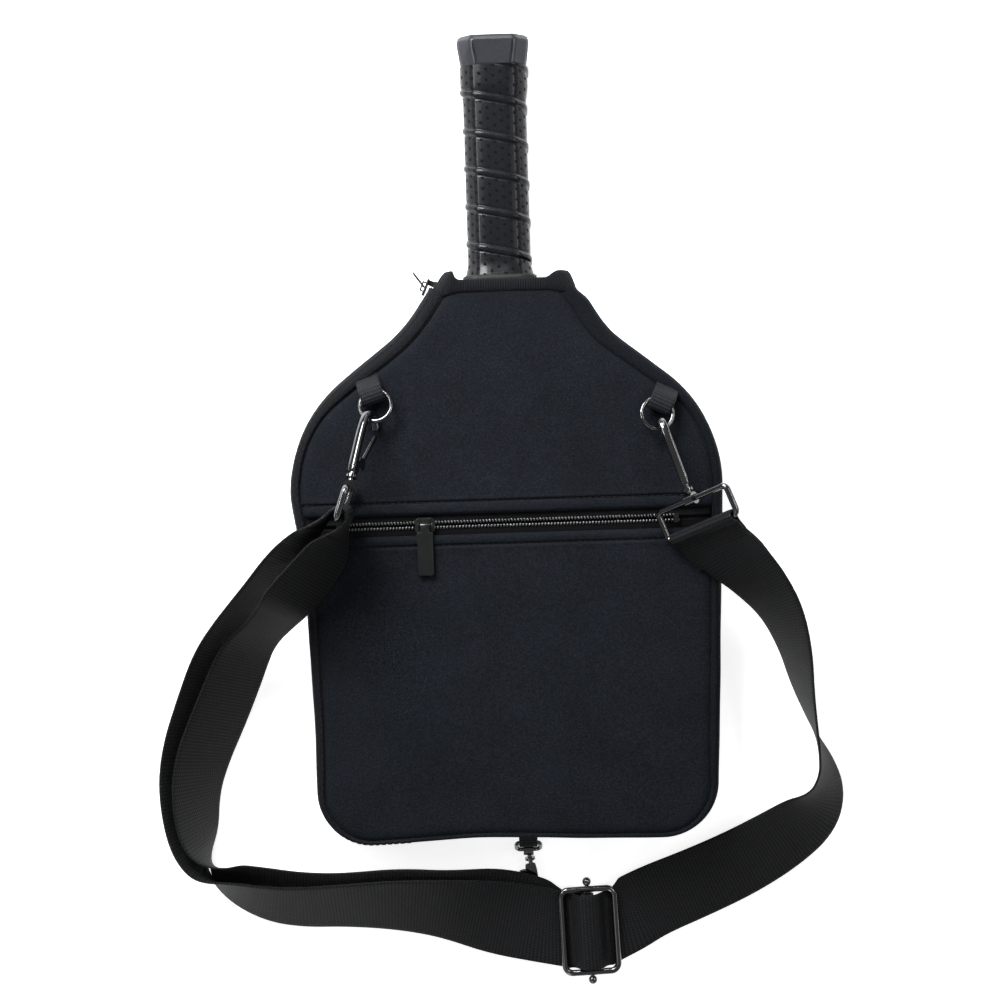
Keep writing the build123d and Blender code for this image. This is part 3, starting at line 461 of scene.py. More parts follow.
ROUTE_RETURN = [
    (14, -184.5, 5.4, 178), (-8, -176, 6.6, 174), (-36, -171, 11.3, 149), (-62, -166, 13.6, 140),
    (-90, -165, 15.6, 132), (-112, -164, 17.2, 134), (-132, -160, 19, 134), (-147, -157, 20, 132),
    (-157, -149, 20.9, 110), (-163, -136, 19.6, 72), (-165, -113, 18.2, 62), (-161, -93, 16.7, 53),
    (-152, -73, 16.5, 51), (-144, -55, 17.5, 52), (-136, -38, 22, 55), (-127, -28, 30, 64),
    (-119, -20, 39, 62), (-113, -13.5, 50.5, 58), (-108, -8, 54.5, 55), (-94, 7, 56.5, 57),
    (-82.6, 23.4, 58, 68),
]


def spline_points(control, name):
    """Points of the NURBS spline through a route's control points, in the units given."""
    curve = bpy.data.curves.new(name, "CURVE")
    curve.dimensions = "3D"
    curve.resolution_u = 6
    s = curve.splines.new("NURBS")
    s.points.add(len(control) - 1)
    for p, c in zip(s.points, control):
        p.co = (*[float(x) for x in c], 1.0)
    s.order_u = 3
    s.use_endpoint_u = True
    obj = bpy.data.objects.new(name, curve)
    mesh = bpy.data.meshes.new_from_object(obj)
    pts = np.array([v.co for v in mesh.vertices])
    bpy.data.meshes.remove(mesh)
    bpy.data.objects.remove(obj)
    bpy.data.curves.remove(curve)
    return pts


def smooth(t):
    t = np.clip(t, 0, 1)
    return t * t * (3 - 2 * t)


def section(width, thick, n=20):
    """Cross-section of webbing: flat faces, with soft rounded selvedges."""
    half = width / 2
    r = thick / 2
    xs = np.concatenate([[-half + r * 0.3], np.linspace(-half + 1.6, half - 1.6, n), [half - r * 0.3]])
    top = [(x, r * (1 - 0.25 * (abs(x) > half - 1))) for x in xs]
    bottom = [(x, -z) for x, z in top[::-1]]
    return np.array(top + [(half, 0.0)] + bottom + [(-half, 0.0)])


# Stations over which a run takes up the width and the travel directions of its ends
TWIST_STEPS = 7.0
TURN_STEPS = 5.0


def ribbon(name, first, route, last, replaces, widths, travels):
    """Webbing along a route: width direction from each station's lean, blended to the given ends."""
    stations = np.array([first] + [r[:3] for r in route] + [last], float)
    leans = [route[0][3]] + [r[3] for r in route] + [route[-1][3]]
    centre = spline_points(stations * MM, name + "_line") / MM
    lean = spline_points([(a, 0, 0) for a in leans], name + "_lean")[:, 0]
    travel = unit(np.gradient(centre, axis=0))
    level = unit(np.stack([-travel[:, 1], travel[:, 0], np.zeros(len(travel))], 1))
    a = np.radians(lean)[:, None]
    width = level * np.cos(a) + UP[None] * np.sin(a)
    k = np.arange(len(centre))
    for at, want in zip((k, k[::-1]), widths):
        w = smooth(1 - at / TWIST_STEPS)[:, None]
        width = unit(width * (1 - w) + want[None] * w)
    for at, want in zip((k, k[::-1]), travels):
        w = np.clip(1 - at / TURN_STEPS, 0, 1)[:, None]
        travel = unit(travel * (1 - w) + want[None] * w)
    along = unit(travel - width * (travel * width).sum(1, keepdims=True))
    stations = (centre, width, np.cross(along, width))
    return webbing(name, stations, STRAP_W, STRAP_T, "case", replaces), stations


def strip_uv(ring, dist):
    """UV in millimetres for every point of a strip: across its section and along its length."""
    u, v = np.broadcast_arrays(ring[None, :, 0] + 30, dist[:, None])
    return np.stack([u, v], -1).reshape(-1, 2)


def webbing(name, stations, wide, thick, body, replaces):
    """A closed strip of webbing from its stations: centres, width directions, face directions."""
    centre, width, out = stations
    ring = section(wide, thick)
    pts = centre[:, None] + width[:, None] * ring[None, :, :1] + out[:, None] * ring[None, :, 1:]
    verts, faces = capped(pts)
    uv = strip_uv(ring, travelled(centre))
    return make(name, verts, faces, "webbing", body, uv, replaces)


def backwards(stations):
    return [a[::-1] for a in stations]


def chained(*parts):
    """Sets of stations, one after another."""
    return [np.vstack(part) for part in zip(*parts)]


def tail(stations, reach, sink, narrow=0.95):
    """A run's stations within reach of its first one, sunk a little into the run and narrowed."""
    centre, width, out = stations
    keep = travelled(centre) < reach
    return centre[keep] + out[keep] * sink, width[keep] * narrow, out[keep]


def on_glide(path):
    """Stations on the tri-glide, from points given as (along it, above it)."""
    pts, _ = resample(path, 0.7)
    t = unit(np.gradient(pts, axis=0))
    centre = GLIDE + pts[:, :1] * GLIDE_X + pts[:, 1:] * UP
    out = -t[:, 1:] * GLIDE_X + t[:, :1] * UP
    return centre, np.broadcast_to(GLIDE_Y, centre.shape), out


def band(name, path, origin, axes, width, thick, mat, body, replaces, step):
    """A strip bent along a path in the plane of the first two axes, and straight along the third."""
    pts, dist = resample(path, step)
    t = unit(np.gradient(pts, axis=0))
    n = np.stack([-t[:, 1], t[:, 0]], 1)
    ring = section(width, thick, max(4, int(width / 2.5)))
    o, side, lift, across = (np.asarray(x, float) for x in (origin, *axes))
    flat = pts[:, None] + n[:, None] * ring[None, :, 1:]
    xyz = o + flat[..., :1] * side + flat[..., 1:] * lift + ring[None, :, :1] * across
    verts, faces = capped(xyz)
    return make(name, verts, faces, mat, body, strip_uv(ring, dist), replaces)


# Where the runs meet the tri-glide (its slots, in X and Z) and the loops
SLOT_X, SLOT_Z, SLOT_LOW_Z = 10.9, 7.5, 5.2
FOLD_FROM, FOLD_TO = 135, -34
right_start = FAR_RIGHT + TAIL_RIGHT * 8.0
slot_right = np.array([*(GLIDE + GLIDE_X * SLOT_X)[:2], SLOT_Z])
slot_left = np.array([*(GLIDE - GLIDE_X * SLOT_X)[:2], SLOT_Z])
slot_low = np.array([*(GLIDE - GLIDE_X * SLOT_X)[:2], SLOT_LOW_Z])
fold_in = FAR_LEFT + az(FOLD_FROM) * FOLD_R
fold_out = FAR_LEFT + az(FOLD_TO) * FOLD_R

strap_right, run_r = ribbon(
    "strap_right_run", right_start, ROUTE_RIGHT, slot_right, ("strap_right",),
    (ACROSS_RIGHT, GLIDE_Y), (TAIL_RIGHT, -GLIDE_X))
strap_left, run_l = ribbon(
    "strap_left_run", slot_left, ROUTE_LEFT, fold_in, ("strap_left",),
    (GLIDE_Y, UP), (-GLIDE_X, az(45)))
strap_back, run_b = ribbon(
    "strap_return_run", slot_low, ROUTE_RETURN, fold_out, ("strap_return",),
    (GLIDE_Y, UP), (-GLIDE_X, az(56)))
line_r, line_l, line_b = run_r[0], run_l[0], run_b[0]

# Round the left loop's far bar, its legs running on over the two runs
LEG = 13.0
turn = np.radians(np.linspace(FOLD_FROM, FOLD_TO, 30))
away = np.stack([np.cos(turn), np.sin(turn), 0 * turn], 1)
round_bar = (FAR_LEFT + FOLD_R * away, np.broadcast_to(UP, away.shape), -away)
leg_in = backwards(tail(backwards(run_l), LEG, 0.0, 1.0))
centre, width, out = tail(backwards(run_b), LEG, 0.0, 1.0)
strap_fold = webbing("strap_fold", chained(leg_in, round_bar, (centre, width, -out)), STRAP_W + 0.3,
                     STRAP_T + 0.25, "left_swivel", ("strap_fold_left",))

# Round the right loop's far bar, the tail doubled back and sewn
LAP_R = 2.65
lap = [(9.5, 0.72), (3.4, 0.8)] + [
    (LAP_R * math.cos(a), LAP_R * math.sin(a)) for a in np.radians(np.linspace(40, 320, 26))
] + [(3.4, -0.8), (21.0, -0.95)]
lap_axes = (TAIL_RIGHT, np.cross(ACROSS_RIGHT, TAIL_RIGHT), ACROSS_RIGHT)
strap_lap_right = band("strap_lap_right", rounded(lap, 1), FAR_RIGHT, lap_axes, STRAP_W, 1.35,
                       "webbing", "right_swivel", ("strap_end_right",), 0.7)

# Over the tri-glide's centre bar; its ends run on inside the strap, and slide there with it
TAIL = 12.5
HUMP = [(SLOT_X, SLOT_Z), (8.2, 7.9), (4.9, 13.4), (2.2, 14.75), (0.0, 14.95), (-2.2, 14.75),
        (-4.9, 13.4), (-8.2, 7.9), (-SLOT_X, SLOT_Z)]
over = on_glide(rounded([(x, z - GLIDE[2]) for x, z in HUMP], 3))
before = backwards(tail(backwards(run_r), TAIL, 0.12))
strap_hump = webbing("strap_hump_run", chained(before, over, tail(run_l, TAIL, 0.12)),
                     STRAP_W - 0.6, STRAP_T - 0.1, "triglide", ("strap_hump",))

# Round the centre bar below it, and back to the return run
lap = [(-SLOT_X, SLOT_LOW_Z - GLIDE[2]), (-6.0, 5.9 - GLIDE[2])] + [
    (LAP_R * math.cos(a), LAP_R * math.sin(a)) for a in np.radians(np.linspace(250, 560, 26))
]
centre, width, out = backwards(tail(run_b, TAIL, 0.05))
strap_lap_glide = webbing("strap_lap_adjuster", chained((centre, width, -out), on_glide(rounded(lap, 1))),
                          STRAP_W - 0.6, 1.3, "triglide", ("strap_end_adjuster",))


def bends(obj):
    """Takes a piece off its body: no parent, with its placement baked into its mesh."""
    obj.parent = None
    del obj["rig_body"]
    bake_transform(obj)


bends(strap_lap_right)
bends(strap_fold)


def follows(obj, line, near, far):
    """Takes the run off its body, as bends does; the points it picks from line at far and near are not used.
    """
    start, end = line[far].copy(), line[near].copy()
    end[0] = start[0] + 0.3 * (end[0] - start[0])
    bends(obj)


follows(strap_right, line_r, 3, 24)
follows(strap_left, line_l, -4, -36)
follows(strap_back, line_b, -4, -38)


# ---- case outline (as in the CAD)
BOTTOM_Y = -139.0
SHOULDER = np.array([37.5, 42.0])
SHOULDER_R, NECK_R, CORNER_R = 72.0, 73.6, 29.0
RUN, LEAN, SLOPE = 30.0, 2.2, 38.2  # the straight run up to the neck; leans in degrees
ZIP_END_X = -60.0
OPEN_LOW, OPEN_HIGH = 19.9, 30.1  # the pocket opening's edges
POCKET_Y = 25.0


def arc(centre, radius, angles):
    return np.asarray(centre) + radius * np.stack([np.cos(angles), np.sin(angles)], 1)


def half_outline(step=1.2):
    """Right half of the case's outline, from the middle of the bottom up past the neck."""
    a0, a1 = math.radians(-LEAN), math.radians(90 - SLOPE)
    s0 = SHOULDER + SHOULDER_R * np.array([math.cos(a0), math.sin(a0)])
    corner = np.array([s0[0] + (s0[1] - BOTTOM_Y) * math.sin(a0), BOTTOM_Y])
    d0, d1 = np.array([-1.0, 0.0]), unit(s0 - corner)
    phi = math.acos(float(d0 @ d1))
    cut = CORNER_R / math.tan(phi / 2)
    centre = corner + unit(d0 + d1) * CORNER_R / math.sin(phi / 2)
    t0, t1 = corner + d0 * cut - centre, corner + d1 * cut - centre
    b0, b1 = math.atan2(t0[1], t0[0]), math.atan2(t1[1], t1[0])
    bottom = arc(centre, CORNER_R, np.linspace(b0, b1, 60))
    shoulder = arc(SHOULDER, SHOULDER_R, np.linspace(a0, a1, 90))
    out = np.array([math.cos(a1), math.sin(a1)])
    neck = shoulder[-1] + np.array([-out[1], out[0]]) * RUN + out * NECK_R
    first = math.atan2(-out[1], -out[0])
    top = arc(neck, NECK_R, first - np.radians(np.linspace(0, 38, 60)))
    return resample(np.vstack([[(0.0, BOTTOM_Y)], bottom, shoulder, top]), step)[0]


HALF = half_outline()
# Distance of the front seam from the outline, by height up the case
SEAM_AT_Y = [-139, -128, -100, 20, 70, 84, 95, 115, 142]
SEAM_INSET = [2.3, 3.4, 4.7, 5.3, 5.0, 5.7, 7.2, 8.2, 8.8]
NECK_TOP = 143.0
PANEL_Z, CASE_TOP = 30.5, 33.1  # where the front panels' face starts from, and its highest


def seam_inset(y):
    return np.interp(y, SEAM_AT_Y, SEAM_INSET)


def normals_of(path):
    t = unit(np.gradient(path, axis=0))
    return np.stack([t[:, 1], -t[:, 0]], 1)


def inset_half(extra=0.0):
    """The right half's seam line, moved further in by extra."""
    n = normals_of(HALF)
    n[0] = (0, -1)
    out = HALF - n * (seam_inset(HALF[:, 1]) + extra)[:, None]
    out[0, 0] = 0.0
    return out


def whole(half):
    """A half line with its mirror image, as one line."""
    return np.vstack([(half[::-1] * np.array([-1, 1]))[:-1], half])


def slouch(pts):
    """How the soft case settles: the neck leans right, the lower left draws in, the bottom lifts."""
    pts = np.array(pts, float)
    x, y = pts[..., 0].copy(), pts[..., 1].copy()
    pts[..., 0] += 2.8 * smooth(x / 30) * smooth((y - 112) / 24)
    pts[..., 0] += 3.9 * smooth(-x / 60) * smooth((45 - y) / 45) * (1 - 0.45 * smooth((-y - 60) / 60))
    pts[..., 1] += smooth((-y - 60) / 75) * (0.9 + 2.7 * np.exp(-((x + 15) / 44) ** 2))
    return pts


# ---- neoprene panels
def panel(name, y_low, y_high, height, replaces, mat, under, seams=(), cols=110, step=1.5, extra=0.0,
          face_up=True):
    """One layer of the case: rows run from side to side of the seam line, and height shapes it."""
    edge = inset_half(extra)
    first = int(np.argmax(edge[:, 1] > edge[0, 1] + 0.02)) - 1
    side, _ = resample(edge[first:], step)
    ys = side[:, 1]
    y_low, y_high = max(y_low, ys[0]), min(y_high, ys[-1])
    fine = [y + k for y in seams for k in np.arange(-2.4, 2.5, 0.3)]
    fine += [y for k in (0, 0.3, 0.7, 1.2, 1.8) for y in (y_low + k, y_high - k)]
    coarse = [y for y in ys if y_low < y < y_high and min(abs(y - f) for f in fine) > 0.3]
    rows = np.array(sorted(f for f in fine + coarse if y_low <= f <= y_high))
    wide = np.interp(rows, ys, side[:, 0])
    k = np.linspace(-1, 1, cols)
    u = 0.55 * np.sin(k * math.pi / 2) + 0.45 * k
    x = wide[:, None] * u[None]
    y = np.broadcast_to(rows[:, None], x.shape)
    line = resample(edge, 0.8)[0]
    flat = np.stack([np.abs(x).ravel(), y.ravel()], 1)
    dist = [np.sqrt(((part[:, None] - line[None]) ** 2).sum(-1).min(1)) for part in np.array_split(flat, 12)]
    z = height(x, y, np.concatenate(dist).reshape(x.shape))
    verts, faces = grid(slouch(np.stack([x, y, z], -1)))
    uv = np.stack([x.ravel(), y.ravel()], 1)
    obj = make(name, verts, faces[:, ::-1] if face_up else faces, mat, "case", uv, replaces)
    return thicken(obj, under)


def ripple(x, y):
    """Shallow unevenness of soft neoprene."""
    slow = 0.12 * np.sin(x / 17 + 1.3) * np.sin(y / 23 + 0.4)
    slant = 0.08 * np.sin((x + y) / 11) * np.sin((x - 2 * y) / 29)
    return slow + slant + 0.05 * np.sin(x / 6.1 + y / 9.3)


def roll(d, reach):
    """Rises from 0 at the edge to 1 further in."""
    return 1 - np.exp(-(np.maximum(d, 0) / reach) ** 1.3)


def hill(d, reach):
    return np.exp(-(d / reach) ** 2)


# How far behind the opening's edges the hems are stitched, and where the tabs' webbing is sewn on
HEM_UPPER, HEM_LOWER = 6.2, 5.2
GROOVE_BEHIND = 0.1346
TAB_LEFT, TAB_RIGHT = (-66.4, 93.2), (79.6, 84.5)


def hemmed(z, hem, stitch):
    """Rolled edge at the opening, with a deep stitched groove behind it; hem is the distance in."""
    groove = np.exp(-np.abs((hem - stitch - GROOVE_BEHIND) / 0.62) ** 2.2)
    z = z - 1.2 * hill(hem, 0.8) - 1.05 * groove
    return z + 0.30 * hill(hem - stitch / 2, stitch / 4) + 0.22 * hill(hem - stitch - 1.9, 0.9)


def upper_height(x, y, dist):
    z = PANEL_Z + 2.0 * roll(dist, 1.9) + 0.25 * roll(dist, 26) + ripple(x, y)
    z = hemmed(z, y - OPEN_HIGH, HEM_UPPER)
    for tab_x, tab_y in (TAB_LEFT, TAB_RIGHT):
        z = z - 0.3 * hill(np.hypot(x - tab_x, y - tab_y), 11)
    return np.minimum(z, CASE_TOP)


def pocket_height(x, y, dist):
    z = PANEL_Z + 2.0 * roll(dist, 1.9) + 0.3 * roll(dist, 30) + ripple(x + 40, y - 25)
    return np.minimum(hemmed(z, OPEN_LOW - y, HEM_LOWER), CASE_TOP)


def back_height(x, y, dist):
    return 0.25 + 1.6 * np.exp(-(dist / 2.0) ** 1.3) + 0.08 * (1 + np.sin(x / 19) * np.sin(y / 27))


LINING_Z = 28.6
BELOW = -200  # lower than the case, so a panel from there starts at its bottom edge

front_upper = panel("case_front_upper", OPEN_HIGH, NECK_TOP, upper_height, ("front_upper_panel",),
                    "neoprene", 2.3, (OPEN_HIGH + HEM_UPPER,))
pocket_front = panel("case_pocket_front", BELOW, OPEN_LOW, pocket_height, ("pocket_front_panel",),
                     "neoprene", 2.3, (OPEN_LOW - HEM_LOWER,))
case_back = panel("case_back", BELOW, NECK_TOP, back_height, ("back_panel",), "neoprene", 2.4,
                  cols=90, step=2.0, face_up=False)
panel("case_lining", BELOW, NECK_TOP, lambda x, y, d: LINING_Z + 0.0 * x, ("front_lining",), "lining",
      1.0, cols=50, step=5.0, extra=-1.5)

# ---- walls
# Profiles run from the front seam over the edge to the middle of the wall, and back in behind. The
# first figure is how far in a point lies, as a part of the seam's own inset.
FRONT_EDGE = [(1.12, 30.2), (1.04, 31.3), (0.88, 32.15), (0.64, 32.4), (0.38, 31.9), (0.18, 30.6),
              (0.05, 28.6), (0.0, 26.0)]
BACK_EDGE = [(0.0, 5.6), (0.06, 3.4), (0.2, 1.7), (0.4, 0.8), (0.64, 0.4), (0.88, 0.6), (1.04, 1.2),
             (1.12, 2.2)]
INSET_MM = 6.0  # a typical inset, for spacing a profile's points evenly


def wall(name, profile, bulge, part, mat, replaces, thick, top=145.5):
    """Part of the case's wall: its profile carried along the outline, with a soft uneven bulge."""
    prof = resample(rounded([(a * INSET_MM, z) for a, z in profile], 2), 0.55)[0]
    path = whole(resample(HALF, 1.3)[0])
    n = normals_of(path)
    inset = seam_inset(path[:, 1])
    tuck = np.where(path[:, 0] < 0, 0.8, 2.6) * smooth((path[:, 1] - 135.5) / 9)
    keep = (path[:, 1] < top) & part(path)
    path, n, inset, tuck = path[keep], n[keep], inset[keep], tuck[keep]
    s = travelled(path)
    wave = 0.10 * np.sin(s / 13.0) + 0.06 * np.sin(s / 5.7 + 1)
    belly = bulge * np.sin(math.pi * prof[None, :, 1] / 33.0)
    deep = prof[None, :, 0] / INSET_MM * inset[:, None] - belly + (wave + tuck)[:, None]
    xy = path[:, None] - n[:, None] * deep[..., None]
    z = np.broadcast_to(prof[None, :, 1], xy.shape[:2])
    verts, faces = grid(slouch(np.concatenate([xy, z[..., None]], -1)))
    uv = np.stack(np.broadcast_arrays(travelled(prof)[None], s[:, None]), -1).reshape(-1, 2)
    thicken(make(name, verts, faces[:, ::-1], mat, "case", uv, replaces), thick)
    return path, n, s


def at_zip(path):
    return (path[:, 0] < 0) & ((path[:, 1] > BOTTOM_Y + 0.01) | (path[:, 0] < ZIP_END_X + 3))


def away_from_zip(path):
    return (path[:, 0] > 0) | ((path[:, 1] < BOTTOM_Y + 0.01) & (path[:, 0] > ZIP_END_X))


wall("wall_neoprene", FRONT_EDGE + [(0, 20), (0, 15), (0, 10)] + BACK_EDGE, 0.3, away_from_zip, "wall",
     ("gusset",), 1.8)
wall("wall_tape_front", FRONT_EDGE + [(0, 21), (0.0, 17.2), (0.12, 16.5), (0.28, 16.4)], 0.0, at_zip,
     "zip_tape", ("zip_tape_front",), 1.5)
zip_path, zip_n, zip_s = wall(
    "wall_tape_back", [(0.28, 13.6), (0.12, 13.5), (0.0, 12.8), (0, 9)] + BACK_EDGE, 0.0, at_zip,
    "zip_tape", ("zip_tape_back",), 1.5)


# ---- small repeated pieces
def many(name, centres, frames, shape, shape_faces, mat, body, slot=None, replaces=()):
    """Copies of one small shape (millimetres), each placed by a centre and a 3x3 frame of axes."""
    shape = np.asarray(shape, float)
    verts = (centres[:, None] + np.einsum("vk,nkj->nvj", shape, frames)).reshape(-1, 3)
    k = len(shape)
    faces = [[int(i) + k * j for i in f] for j in range(len(centres)) for f in shape_faces]
    return make(name, verts, faces, mat, body, None, replaces)


def bar(rings):
    """Vertices and faces of a small closed bar whose rings run anticlockwise round its axis."""
    verts, faces = capped(rings)
    return verts, [f[:1] + f[:0:-1] for f in faces[:-2]] + faces[-2:]


def capsule(length, r, sides=6):
    """A thread's float: a bar along the first axis with tapered ends."""
    a = np.linspace(0, 2 * math.pi, sides, endpoint=False)
    x, k = np.array([(-0.5, 0.25), (-0.38, 0.85), (0.0, 1.0), (0.38, 0.85), (0.5, 0.25)]).T
    y, z = np.cos(a), np.sin(a)
    thick = r * k[:, None]
    return bar(np.stack(np.broadcast_arrays(x[:, None] * length, thick * y, thick * z), -1))


def block(a, b, c, soft=0.25):
    """A box with chamfered edges, sized a by b by c."""
    y, z = b / 2, c / 2
    quarter = [(y, z - soft), (y - soft, z)]
    ring = quarter + [(-q, r) for q, r in quarter[::-1]]
    ring = np.array(ring + [(-q, -r) for q, r in ring])
    ends = ((-a / 2, 0.7), (-a / 2 + soft, 1), (a / 2 - soft, 1), (a / 2, 0.7))
    return bar(np.array([[(x, *(k * q)) for q in ring] for x, k in ends]))


def frames_along(points, normals):
    t = unit(np.gradient(points, axis=0))
    n = unit(normals - t * (t * normals).sum(1, keepdims=True))
    return np.stack([t, np.cross(n, t), n], 1)


def stitches(name, line, normals, pitch, length, r, lift, replaces=()):
    """A row of thread floats along a line of points."""
    pts, _ = resample(np.hstack([line, normals]), pitch)
    at, n = pts[:, :3], unit(pts[:, 3:])
    many(name, at + n * lift, frames_along(at, n), *capsule(length, r), "thread", "case", None, replaces)


def level(xy, z):
    """Points at one height."""
    return np.column_stack([xy, np.full(len(xy), z)])


seam = whole(inset_half(0.1))
seam = level(slouch(seam[seam[:, 1] < 142]), 30.75)
stitches("seam_stitches", seam, np.broadcast_to(UP, seam.shape), 2.6, 2.3, 0.34, 0.0, ("pocket_seam",))
for name, y in (("hem_stitch_upper", OPEN_HIGH + HEM_UPPER), ("hem_stitch_lower", OPEN_LOW - HEM_LOWER)):
    xs = np.linspace(-101, 101, 120)
    line = level(np.column_stack([xs, np.full(len(xs), y + 0.13)]), 31.75)
    stitches(name, line, np.broadcast_to(UP, line.shape), 3.1, 2.5, 0.36, 0.05)

# Topstitching that holds the zip tape to the left wall, and its row by the seam
for name, part, z, tip in (("tape_stitch_outer", 0.30, 31.55, 0.6), ("tape_stitch_inner", 0.84, 32.3, -0.1)):
    pts = zip_path - zip_n * (part * seam_inset(zip_path[:, 1]))[:, None]
    stitches(name, slouch(level(pts, z)), level(zip_n * tip, 1.0), 3.2, 2.4, 0.24, 0.08)

# Teeth of the main zip, in two interlocking rows
ZIP_PITCH = 1.3
for name, z, shift, stands in (
    ("main_teeth_back", 14.35, 0.0, ("main_zip_coil",)), ("main_teeth_front", 15.65, 0.5, ()),
):
    at = np.arange(14 + shift * ZIP_PITCH, zip_s[-1] - 4, ZIP_PITCH)
    px, nx = (np.stack([np.interp(at, zip_s, v[:, k]) for k in (0, 1)], 1) for v in (zip_path, zip_n))
    nx = unit(nx)
    c = slouch(level(px - nx * 0.9, z))
    many(name, c, frames_along(c, level(nx, 0.0)), *block(0.75, 1.9, 1.5), "coil_metal", "case",
         "zip_coil", stands)

# ---- pocket zip
TOOTH_PITCH = 1.6
TEETH_END = 86.5
xs = np.linspace(-102.5, 102.5, 90)
for side, sign in (("upper", 1), ("lower", -1)):
    offs = np.array([0.9, 1.4, 2.4, 4.5, 6.6])
    zz = np.array([29.75, 29.6, 29.45, 29.4, 29.4])
    pts = np.stack(np.broadcast_arrays(xs[:, None], POCKET_Y + sign * offs, zz), -1)
    verts, faces = grid(pts)
    if sign > 0:
        faces = faces[:, ::-1]
    uv = pts[..., 1::-1].reshape(-1, 2)
    # The tapes take the darker twill: painted shade for the recess they sit in
    thicken(make(f"pocket_tape_{side}_strip", verts, faces, "painted_shade_tape", "case", uv,
                 (f"pocket_tape_{side}",)), 0.6)
for side, sign, start in (("upper", 1, TOOTH_PITCH / 2), ("lower", -1, 0)):
    at = np.arange(start - TEETH_END, TEETH_END, TOOTH_PITCH)
    c = level(np.column_stack([at, np.full(len(at), POCKET_Y + sign * 1.3)]), 30.25)
    slant = unit(np.array([1.0, 0.35 * sign, 0.0]))
    axes = np.stack([np.stack([slant, np.cross(UP, slant), UP])] * len(at))
    many(f"pocket_teeth_{side}", c, axes, *block(0.85, 1.5, 1.1, 0.2), "coil_metal", "case",
         "zip_coil", (f"pocket_coil_{side}",))

# ---- binding round the neck's mouth
MOUTH_LEFT, MOUTH_RIGHT = -34.6, 37.6
MOUTH_LOW, MOUTH_HIGH, MOUTH_R = 0.9, 31.9, 8.0
BINDING_Y, BINDING_HALF, BINDING_T = 144.4, 3.3, 1.7


def mouth_path(n=14):
    """Rounded rectangle in X and Z, from just above the zip on the left round to below it."""
    left, right = MOUTH_LEFT + MOUTH_R, MOUTH_RIGHT - MOUTH_R
    high, low = MOUTH_HIGH - MOUTH_R, MOUTH_LOW + MOUTH_R
    corners = (((left, high), 180), ((right, high), 90), ((right, low), 0), ((left, low), -90))
    turns = [arc(c, MOUTH_R, np.radians(np.linspace(a, a - 90, n))) for c, a in corners]
    return np.vstack([[(MOUTH_LEFT, 19.8)], *turns, [(MOUTH_LEFT, 10.2)]])


mp, ms = resample(mouth_path(), 0.16)
mt = unit(np.gradient(mp, axis=0))
mn = np.stack([-mt[:, 1], mt[:, 0]], 1)
rise = np.where(mp[:, 0] < 0, 4.6, 3.5) * smooth((np.abs(mp[:, 0] - 1.5) - 21) / 12)
lean_in = np.where(mp[:, 0] < 0, 7.6, 4.0) * smooth((np.abs(mp[:, 0]) - 20) / 14)
theta = np.linspace(0, 2 * math.pi, 22, endpoint=False)
rib = 0.14 * np.abs(np.sin(ms * math.pi / RIB_PITCH))
across = power(np.cos(theta), 0.75)
off = power(np.sin(theta), 0.75)[None] * (BINDING_T + rib[:, None])
rim = (across[None] + 1) / 2
x = mp[:, :1] + mn[:, :1] * off - np.sign(mp[:, :1]) * lean_in[:, None] * rim
y = BINDING_Y + rise[:, None] * (rim - 0.45 * (1 - rim)) + BINDING_HALF * across[None]
z = np.maximum(mp[:, 1:] + mn[:, 1:] * off, 0.05)
verts, faces = capped(np.stack([x, y, z], -1), flip=True)
uv = np.stack(np.broadcast_arrays(theta[None] * 3, ms[:, None]), -1).reshape(-1, 2)
make("neck_binding_band", verts, faces, "ribbed_elastic", "case", uv,
     ("neck_binding",))

# ---- tabs
TAB_Z = 36.5  # height of the rings' axes, which the tabs' folds go round
TAB_PATH = [(-9.0, 29.6), (-7.2, 31.4), (-5.6, 33.4), (-3.9, 36.2), (-1.6, 38.6), (1.4, 39.5), (4.2, 39.1),
            (5.9, 37.6), (6.2, 36.0), (5.1, 34.5), (2.4, 33.9), (-3.0, 33.7), (-7.4, 32.2)]
for side, at, angle in (("left", TAB_LEFT, -72.0), ("right", TAB_RIGHT, -115.5)):
    path = rounded([(a, b - TAB_Z) for a, b in TAB_PATH], 2)
    band(f"{side}_ring_tab", path, (*at, TAB_Z), (az(angle), UP, az(angle - 90)), 12.0, 0.9, "tab_webbing",
         "case", (f"{side}_tab",), 0.5)
EYE = np.array([5.665, -143.305, 9.078])
EYE_PATH = [(-10.4, 5.4), (-7.0, 4.6), (-3.0, 3.5), (-0.6, 2.2), (1.2, 1.6), (2.0, 0.0), (1.2, -1.6),
            (-0.8, -2.1), (-3.0, -2.9), (-7.0, -3.4), (-10.4, -3.0)]
band("bottom_eye_tab", rounded(EYE_PATH, 2), EYE, ((0, -1, 0), UP, (1, 0, 0)), 9.6, 0.9, "tab_webbing",
     "case", ("bottom_tab",), 0.5)

# ---- snap hooks
# The hook's bow and its gate, as points (along the hook, across it), and their half widths
HOOK_LINE = [(3.0, -0.8), (31.5, -0.8), (36.4, 3.6), (35.4, 8.6), (29.2, 12.2)]
GATE_LINE = [(6.8, 4.7), (8.0, 5.2), (17.5, 8.8), (27.2, 12.4)]
HOOK_HALF, GATE_HALF = 1.9, 1.35
JOINTS = {j["name"]: j for j in frame["record"]["behaviour"]["joints"]}


